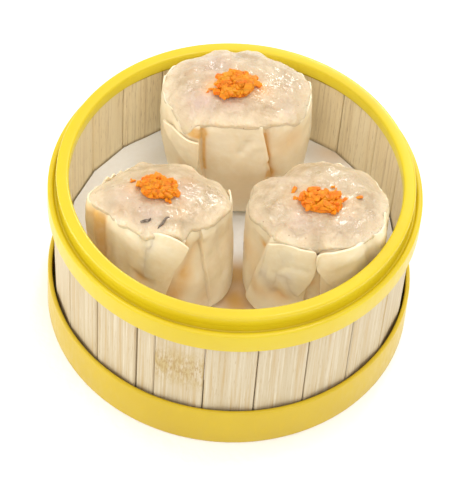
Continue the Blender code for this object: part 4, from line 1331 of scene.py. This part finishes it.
# %% Coloured places on the meat
# each place: x, y, reach, strength; juice is carrot orange, browned is tan, pink is raw-looking mince, and
# gloss is where the surface is wettest
MEAT_PLACES = {
    "left": {
        "juice": [(-0.0197, -0.0137, 0.0075, 0.22), (-0.0263, -0.0125, 0.0026, 0.4),
                  (-0.0135, -0.0190, 0.0030, 0.2)],
        "browned": [(-0.0125, -0.0089, 0.0020, 1.6), (-0.0290, -0.0210, 0.0022, 0.8),
                    (-0.0080, -0.0220, 0.0026, 0.5), (-0.0160, -0.0275, 0.0025, 0.4),
                    (-0.0250, -0.0235, 0.0016, 0.4)],
        "pink": [(-0.0210, -0.0220, 0.0045, 0.6), (-0.0280, -0.0160, 0.0040, 0.4),
                 (-0.0140, -0.0130, 0.0035, 0.5)],
        "gloss": [(-0.0055, -0.0095, 0.0022, 0.9), (-0.0065, -0.0120, 0.0024, 1.0),
                  (-0.0088, -0.0168, 0.0024, 1.0), (-0.0113, -0.0195, 0.0016, 0.6),
                  (-0.0294, -0.0126, 0.0018, 0.6)],
    },
    "right": {
        "juice": [(0.0226, -0.0132, 0.0075, 0.20), (0.0160, -0.0110, 0.0035, 0.35),
                  (0.0290, -0.0125, 0.0035, 0.2)],
        "browned": [(0.0069, -0.0184, 0.0009, 1.0), (0.0240, -0.0240, 0.0020, 0.5),
                    (0.0130, -0.0225, 0.0022, 0.4)],
        "pink": [(0.0180, -0.0195, 0.0050, 0.5), (0.0300, -0.0200, 0.0040, 0.3),
                 (0.0120, -0.0020, 0.0050, 0.3)],
        "gloss": [(0.0092, -0.0142, 0.0020, 1.0), (0.0127, -0.0176, 0.0022, 0.9),
                  (0.0289, -0.0213, 0.0022, 0.8), (0.0327, -0.0199, 0.0026, 1.0),
                  (0.0360, -0.0180, 0.0022, 1.0), (0.0355, -0.0143, 0.0018, 0.7),
                  (0.0285, -0.0027, 0.0030, 0.6), (0.0205, -0.0003, 0.0026, 0.4),
                  (0.0150, -0.0080, 0.0014, 0.5)],
    },
    "back": {
        "juice": [(-0.0022, 0.0230, 0.0075, 0.25), (0.0044, 0.0235, 0.0030, 0.8),
                  (-0.0088, 0.0225, 0.0026, 0.6)],
        "browned": [(0.0070, 0.0150, 0.0026, 0.5), (-0.0150, 0.0290, 0.0030, 0.4),
                    (0.0120, 0.0260, 0.0030, 0.35)],
        "pink": [(-0.0115, 0.0180, 0.0050, 0.8), (-0.0030, 0.0175, 0.0040, 0.7),
                 (0.0130, 0.0180, 0.0036, 0.5), (-0.0080, 0.0320, 0.0050, 0.6)],
        "gloss": [(0.0079, 0.0282, 0.0026, 0.9), (0.0059, 0.0236, 0.0024, 1.0),
                  (0.0040, 0.0190, 0.0022, 0.9), (0.0105, 0.0250, 0.0020, 0.6),
                  (-0.0105, 0.0305, 0.0028, 0.7), (-0.0143, 0.0232, 0.0028, 0.6),
                  (-0.0071, 0.0160, 0.0022, 0.7)],
    },
}
MARGIN = (0.76, 1.00)
MARGIN_WAVE = 0.06
PATCHINESS = 0.7
PATCH_SIZE = 0.0022
COLOURED_ABOVE = 0.02


def mark_places(piece, s, places):
    """Store how much of each colour a vertex gets, and how near it is to the dough's edge."""
    flat = np.empty(len(piece.data.vertices) * 3)
    piece.data.vertices.foreach_get("co", flat)
    x, y, z = flat.reshape(-1, 3).T
    uneven = 1.0 + PATCHINESS * noise_at(x, y, z, PATCH_SIZE, 4.4)
    across, along = x - s["centre"][0], y - s["centre"][1]
    share = np.hypot(across, along) / belly_radius(s, np.degrees(np.arctan2(along, across)) % 360.0)
    into = (share + MARGIN_WAVE * (uneven - 1.0) - MARGIN[0]) / (MARGIN[1] - MARGIN[0])
    amounts = {"margin": into}
    for kind, spots in places.items():
        amount = np.zeros(len(x))
        for at_x, at_y, reach, strength in spots:
            amount += strength * np.exp(-((x - at_x) ** 2 + (y - at_y) ** 2) / reach ** 2)
        amounts[kind] = amount * uneven * (z > FOOD_FOOT + COLOURED_ABOVE)
    for kind, amount in amounts.items():
        stored = piece.data.attributes.new(kind, "FLOAT", "POINT")
        stored.data.foreach_set("value", np.clip(amount, 0.0, 1.0))


# %% [markdown]
# The paste is pale pink and cream, wet and slightly see-through. Where it is wettest it is smoothest, and a
# very fine bump breaks the lamps' reflection into the small sparkles of the photo. Scattering keeps the
# shadows warm.

# %% Meat
def steamed_meat():
    f = Finish("meat", Coat_Weight=0.35, Coat_Roughness=0.10, Specular_IOR_Level=0.9, Subsurface_Weight=0.45,
               Subsurface_Radius=(0.0042, 0.0024, 0.0014), Subsurface_Scale=1.0)
    broad = f.noise(150.0, 4.0)
    patches = f.noise(330.0, 5.0, 0.6)
    colour = f.blend(f.spread(broad, 0.40, 0.60), (0.53, 0.40, 0.235), (0.42, 0.297, 0.155))
    colour = f.blend(f.spread(patches, 0.50, 0.66, 0.0, 0.7), colour, (0.62, 0.49, 0.315))
    colour = f.blend(f.sum("MULTIPLY", f.attribute("pink"), 0.7), colour, (0.52, 0.365, 0.31))
    colour = f.blend(f.sum("MULTIPLY", f.attribute("browned"), 0.8), colour, (0.46, 0.28, 0.13))
    colour = f.blend(f.attribute("juice"), colour, (0.76, 0.42, 0.16))
    colour = f.blend(f.sum("MULTIPLY", f.attribute("margin"), 0.85), colour, (0.74, 0.585, 0.375))
    specks = f.spread(f.cells(480.0), 0.06, 0.13, 0.8, 0.0)
    rare = f.spread(f.noise(230.0, 1.0), 0.54, 0.60)
    colour = f.blend(f.sum("MULTIPLY", specks, rare), colour, (0.28, 0.14, 0.06))
    grain = f.noise(2600.0, 4.0, 0.6)
    wet = f.sum("ADD", f.attribute("gloss"), f.spread(f.noise(260.0, 3.0), 0.45, 0.70, 0.0, 0.45))
    roughness = f.spread(wet, 0.0, 1.0, 0.60, 0.10)
    relief = f.bump(grain, 0.00018, 0.9, over=f.bump(f.noise(1150.0, 3.0), 0.00035, 0.9))
    return f.finish(colour, roughness, relief)


meat = steamed_meat()
for side in SIOMAY:
    piece = filling(side)
    mark_places(piece, SIOMAY[side], MEAT_PLACES[side])
    paint(piece, meat)
    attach(piece, "root")
    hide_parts(f"filling_{side}")
    report(piece)

# %% [markdown]
# ## Grated carrot
#
# Each siomay carries a small heap of grated carrot: fine crumbs and shreds on two of them and a few flat
# pieces on the right one. Some crumbs are modelled once, by rounding and roughening a small block, and
# then copied at random turns and sizes over a low lumpy core. The bigger lumps that the eye knows a heap
# by are placed one by one.

# %% Model the crumbs once
NOISE_SHIFTS = [Vector((7.3, 1.9, 4.1)), Vector((2.7, 8.6, 5.2)), Vector((6.4, 3.8, 9.7))]
WORN_RADIUS = 0.58
WORN_SHARE = 0.45
ROUGH_SIZE = 0.8
ROUGH_PUSH = 0.20
FINE_PUSH = 0.11
FINER = 2.6
SHRED_BEND = 0.25


def push_at(spot):
    """A push in three directions from noise, the same in every run."""
    return Vector([noise.noise(spot + shift) for shift in NOISE_SHIFTS])


def crumb(name, seed, size, bend):
    """A torn crumb of carrot: a block with worn edges and a rough skin, bent when it is long."""
    deselect_all()
    bpy.ops.mesh.primitive_cube_add(size=1, location=(0, 0, 0))
    block = bpy.context.object
    block.name = name
    bpy.ops.object.mode_set(mode="EDIT")
    bpy.ops.mesh.select_all(action="SELECT")
    bpy.ops.mesh.subdivide(number_cuts=2)
    bpy.ops.object.mode_set(mode="OBJECT")
    for vertex in block.data.vertices:
        rounded = vertex.co.normalized() * WORN_RADIUS
        point = vertex.co.lerp(rounded, WORN_SHARE)
        point = Vector((point.x * size[0], point.y * size[1], point.z * size[2]))
        point.z -= bend * point.x ** 2
        spot = point / ROUGH_SIZE + Vector((seed, seed * 2.0, 0.0))
        vertex.co = point + push_at(spot) * ROUGH_PUSH + push_at(spot * FINER) * FINE_PUSH
    smooth_shading(38)
    return block


CRUMB_SIZES = [(1.0, 0.8, 0.7), (1.2, 0.8, 0.6), (1.0, 1.0, 0.6), (0.9, 0.7, 0.8)]
SHRED_SIZES = [(1.9, 0.65, 0.45), (1.6, 0.8, 0.4), (2.1, 0.55, 0.5)]
crumbs = [crumb(f"crumb_{i}", 3.7 * i, size, 0.0) for i, size in enumerate(CRUMB_SIZES)]
shreds = [crumb(f"shred_{i}", 5.1 * i, size, SHRED_BEND) for i, size in enumerate(SHRED_SIZES)]
print(len(crumbs), "crumbs and", len(shreds), "shreds modelled")

# %% Heap them
# lumps: x, y, length, turn in degrees, how far over the core
HEAPS = {
    "left": {"pieces": 130, "size": (0.0008, 0.0019), "shreds": 0.2, "seed": 4,
             "lumps": [(-0.0180, -0.0125, 0.0060, 20, 0.0003), (-0.0205, -0.0100, 0.0046, 80, 0.0002),
                       (-0.0155, -0.0150, 0.0040, 140, 0.0002), (-0.0232, -0.0145, 0.0032, 60, 0.0002),
                       (-0.0180, -0.0165, 0.0040, -10, 0.0001)]},
    "right": {"pieces": 34, "size": (0.0011, 0.0020), "shreds": 0.2, "seed": 9,
              "lumps": [(0.0204, -0.0098, 0.0060, 12, 0.0005), (0.0172, -0.0130, 0.0042, 75, 0.0001),
                        (0.0191, -0.0152, 0.0036, -15, 0.0004), (0.0228, -0.0126, 0.0038, 50, 0.0007),
                        (0.0262, -0.0112, 0.0048, 8, 0.0003), (0.0242, -0.0158, 0.0046, -40, 0.0003),
                        (0.0214, -0.0142, 0.0028, 70, 0.0008), (0.0284, -0.0122, 0.0024, 50, 0.0000)]},
    "back": {"pieces": 105, "size": (0.0009, 0.0021), "shreds": 0.35, "seed": 6,
             "lumps": [(-0.0032, 0.0262, 0.0056, 10, 0.0002), (-0.0008, 0.0232, 0.0060, -25, 0.0002),
                       (-0.0052, 0.0235, 0.0050, 70, 0.0002), (0.0016, 0.0252, 0.0046, 40, 0.0001),
                       (-0.0030, 0.0203, 0.0052, 0, 0.0002), (0.0010, 0.0208, 0.0040, 60, 0.0001)]},
}
HEAP_SHARE = 0.86
HEAP_RISE = 0.75
# the length of a placed lump is divided by these for its scale along x, y and z
FLAT_PIECE = (1.5, 2.5, 3.2)
EVEN_PIECE = (2.0, 2.0, 2.0)
CORE_COLUMNS = 48
CORE_ROWS = 16
CORE_WIDTH = 0.78
CORE_RISE = 0.70
CORE_LUMPS = 0.0003
OVER_THE_MEAT = 0.0002


def surface_of(s, x, y):
    """World height of the meat at a world place."""
    return FOOD_FOOT + float(top_height(s, np.array(x - s["centre"][0]), np.array(y - s["centre"][1])))


def carrot_core(side):
    """The low lumpy heart of a heap."""
    s = SIOMAY[side]
    cx, cy = s["carrot"]["centre"]
    half_x, half_y = s["carrot"]["size"]

    def place(column, row):
        turn = np.radians(column * 360.0 / CORE_COLUMNS)
        lean = (row / CORE_ROWS - 0.5) * math.pi
        x = cx + half_x * CORE_WIDTH * np.cos(lean) * np.cos(turn)
        y = cy + half_y * CORE_WIDTH * np.cos(lean) * np.sin(turn)
        ground = FOOD_FOOT + top_height(s, x - s["centre"][0], y - s["centre"][1])
        rise = s["carrot"]["height"] * np.where(lean > 0, np.sin(lean), 0.3 * np.sin(lean))
        lumps = CORE_LUMPS * noise_at(x, y, rise, 0.0012, 2.0)
        return x, y, ground + OVER_THE_MEAT + rise * CORE_RISE + lumps

    return rolled_grid(f"carrot_{side}", CORE_COLUMNS, CORE_ROWS, place)


# %% Copies on the core
GOLDEN_TURN = math.pi * (3 - math.sqrt(5))
CRUMB_SPREAD = (0.80, 1.08)
CRUMB_LIFT = (0.10, 0.28)
CRUMB_TILT = 0.7
LUMP_TILT = 0.3


def own_copy(model, placing):
    """A copy of a small model with a mesh of its own, moved to its place."""
    copy = model.copy()
    copy.data = model.data.copy()
    bpy.context.collection.objects.link(copy)
    copy.data.transform(placing)
    return copy


def turned_and_tilted(turn, tilt):
    """A tilt about X and then a turn about Z, in radians."""
    return Matrix.Rotation(turn, 4, "Z") @ Matrix.Rotation(tilt, 4, "X")


def carrot_heap(side):
    """The core with its crumbs in a sunflower's spiral, and the bigger lumps over them."""
    s = SIOMAY[side]
    heap = HEAPS[side]
    rng = random.Random(heap["seed"])
    cx, cy = s["carrot"]["centre"]
    half_x, half_y = s["carrot"]["size"]
    core = carrot_core(side)
    copies = []
    for i in range(heap["pieces"]):
        turn = i * GOLDEN_TURN
        uneven = 1.0 + 0.16 * math.sin(2 * turn + heap["seed"]) + 0.10 * math.sin(5 * turn)
        share = math.sqrt((i + 0.5) / heap["pieces"]) * rng.uniform(*CRUMB_SPREAD) * HEAP_SHARE * uneven
        x = cx + half_x * share * math.cos(turn)
        y = cy + half_y * share * math.sin(turn)
        rise = s["carrot"]["height"] * HEAP_RISE * math.sqrt(max(1 - share ** 2, 0.0))
        size = rng.uniform(*heap["size"])
        model = rng.choice(shreds if rng.random() < heap["shreds"] else crumbs)
        turn = turned_and_tilted(rng.uniform(0, math.tau), rng.uniform(-CRUMB_TILT, CRUMB_TILT))
        lift = size * rng.uniform(*CRUMB_LIFT)
        spot = Matrix.Translation((x, y, surface_of(s, x, y) + rise + lift))
        copies.append(own_copy(model, spot @ turn @ Matrix.Scale(size, 4)))
    for x, y, length, turned, lift in heap["lumps"]:
        model = rng.choice(crumbs if side == "right" else shreds)
        away = min(math.hypot((x - cx) / half_x, (y - cy) / half_y), 1.0)
        rise = s["carrot"]["height"] * HEAP_RISE * math.sqrt(1 - away ** 2)
        turn = turned_and_tilted(math.radians(turned), rng.uniform(-LUMP_TILT, LUMP_TILT))
        spot = Matrix.Translation((x, y, surface_of(s, x, y) + rise + lift + OVER_THE_MEAT))
        shape = FLAT_PIECE if side == "right" else EVEN_PIECE
        stretch = Matrix.Diagonal([length / part for part in shape] + [1.0])
        copies.append(own_copy(model, spot @ turn @ stretch))
    join_pieces(core, copies)
    return core


# %% [markdown]
# Cooked carrot is deep orange where it is thick and lighter along torn edges, and it is a little moist.

# %% Carrot
def grated_carrot():
    f = Finish("carrot", Specular_IOR_Level=0.2, Subsurface_Weight=0.4,
               Subsurface_Radius=(0.0016, 0.0007, 0.0002), Subsurface_Scale=1.0)
    broad = f.noise(420.0, 3.0)
    fine = f.noise(1800.0, 4.0)
    colour = f.blend(f.spread(broad, 0.36, 0.64), (0.67, 0.135, 0.003), (0.78, 0.245, 0.006))
    colour = f.blend(f.spread(fine, 0.45, 0.7, 0.0, 0.4), colour, (0.80, 0.33, 0.02))
    return f.finish(colour, f.spread(fine, 0.3, 0.7, 0.38, 0.55), f.bump(fine, 0.00015, 0.8))


carrot = grated_carrot()
for side in SIOMAY:
    heap = carrot_heap(side)
    paint(heap, carrot)
    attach(heap, "root")
    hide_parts(f"carrot_{side}")
    report(heap)

# %% [markdown]
# ## Small things on the meat
#
# A few shreds strayed from the heaps, and dark slivers of mushroom lie near the left siomay's edge. Each is
# a little mesh of its own, pressed halfway into the meat. The hook is a thin tapering rod: a circle that is
# extruded along a bent path and made smaller at both ends.

# %% Strays
# x, y, length, turn in degrees
STRAYS = {
    "left": [(-0.0268, -0.0104, 0.0013, 30), (-0.0272, -0.0098, 0.0009, 120)],
    "right": [(0.0152, -0.0093, 0.0022, 70), (0.0254, -0.0070, 0.0012, 10), (0.0262, -0.0078, 0.0010, 80),
              (0.0323, -0.0096, 0.0017, 20), (0.0258, -0.0087, 0.0009, 45)],
    "back": [(-0.0087, 0.0216, 0.0015, 0), (-0.0096, 0.0208, 0.0009, 60)],
}


MODEL_LENGTH = 1.6


def laid(model, s, x, y, length, turned, lift=0.0):
    """A copy of a small model, lying on the meat."""
    spot = Matrix.Translation((x, y, surface_of(s, x, y) + lift))
    turn = Matrix.Rotation(math.radians(turned), 4, "Z")
    return own_copy(model, spot @ turn @ Matrix.Scale(length / MODEL_LENGTH, 4))


for side, s in SIOMAY.items():
    strays = [laid(shreds[i % len(shreds)], s, *stray, OVER_THE_MEAT) for i, stray in enumerate(STRAYS[side])]
    join_pieces(strays[0], strays[1:])
    strays[0].name = f"carrot_strays_{side}"
    paint(strays[0], carrot)
    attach(strays[0], "root")
    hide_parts(f"filling_{side}")
    report(strays[0])

# %% Slivers of mushroom
HOOK_PATH = [(-0.0190, -0.0262), (-0.0186, -0.0255), (-0.0180, -0.0250), (-0.0175, -0.0242),
             (-0.0172, -0.0233), (-0.0167, -0.0228), (-0.0160, -0.0230)]
HOOK_RADIUS = [0.00010, 0.00030, 0.00036, 0.00036, 0.00034, 0.00028, 0.00010]
HOOK_STEP = 0.001
HOOK_LIFT = 0.0003


def mushroom_hook(s):
    """A thin rod that follows the hook's path over the meat."""
    deselect_all()
    bpy.ops.mesh.primitive_circle_add(vertices=10, radius=HOOK_RADIUS[0], fill_type="NGON")
    hook = bpy.context.object
    hook.name = "mushroom_hook"
    bpy.ops.object.mode_set(mode="EDIT")
    for i in range(1, len(HOOK_PATH)):
        bpy.ops.mesh.extrude_region_move(TRANSFORM_OT_translate={"value": (0, 0, HOOK_STEP)})
        grow = HOOK_RADIUS[i] / HOOK_RADIUS[i - 1]
        bpy.ops.transform.resize(value=(grow, grow, 1))
    bpy.ops.object.mode_set(mode="OBJECT")
    last = len(HOOK_PATH) - 1
    for vertex in hook.data.vertices:
        step = min(max(round(vertex.co.z / HOOK_STEP), 0), last)
        x, y = HOOK_PATH[step]
        before, after = HOOK_PATH[max(step - 1, 0)], HOOK_PATH[min(step + 1, last)]
        along = Vector((after[0] - before[0], after[1] - before[1], 0)).normalized()
        across = Vector((-along.y, along.x, 0))
        middle = Vector((x, y, surface_of(s, x, y) + HOOK_LIFT))
        vertex.co = middle + across * vertex.co.x + Vector((0, 0, vertex.co.y))
    face_outwards(merge=True)
    smooth = hook.modifiers.new("soft", "SUBSURF")
    smooth.levels = smooth.render_levels = 1
    apply_modifiers(hook)
    smooth_shading(60)
    return hook


def mushroom():
    f = Finish("mushroom", Specular_IOR_Level=0.2, Subsurface_Weight=0.2,
               Subsurface_Radius=(0.0010, 0.0008, 0.0006))
    mottled = f.noise(1300.0, 4.0)
    colour = f.blend(f.spread(mottled, 0.35, 0.65), (0.105, 0.076, 0.052), (0.24, 0.185, 0.135))
    return f.finish(colour, f.spread(mottled, 0.3, 0.7, 0.3, 0.5), f.bump(mottled, 0.0001, 0.6))


left = SIOMAY["left"]
slivers = mushroom_hook(left)
join_pieces(slivers, [laid(shreds[0], left, -0.0224, -0.0239, 0.0020, 15),
                      laid(crumbs[1], left, -0.0212, -0.0235, 0.0010, 60)])
slivers.name = "mushroom_slivers"
paint(slivers, mushroom())
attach(slivers, "root")
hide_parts("filling_left")
report(slivers)
for model in crumbs + shreds:
    bpy.data.objects.remove(model, do_unlink=True)
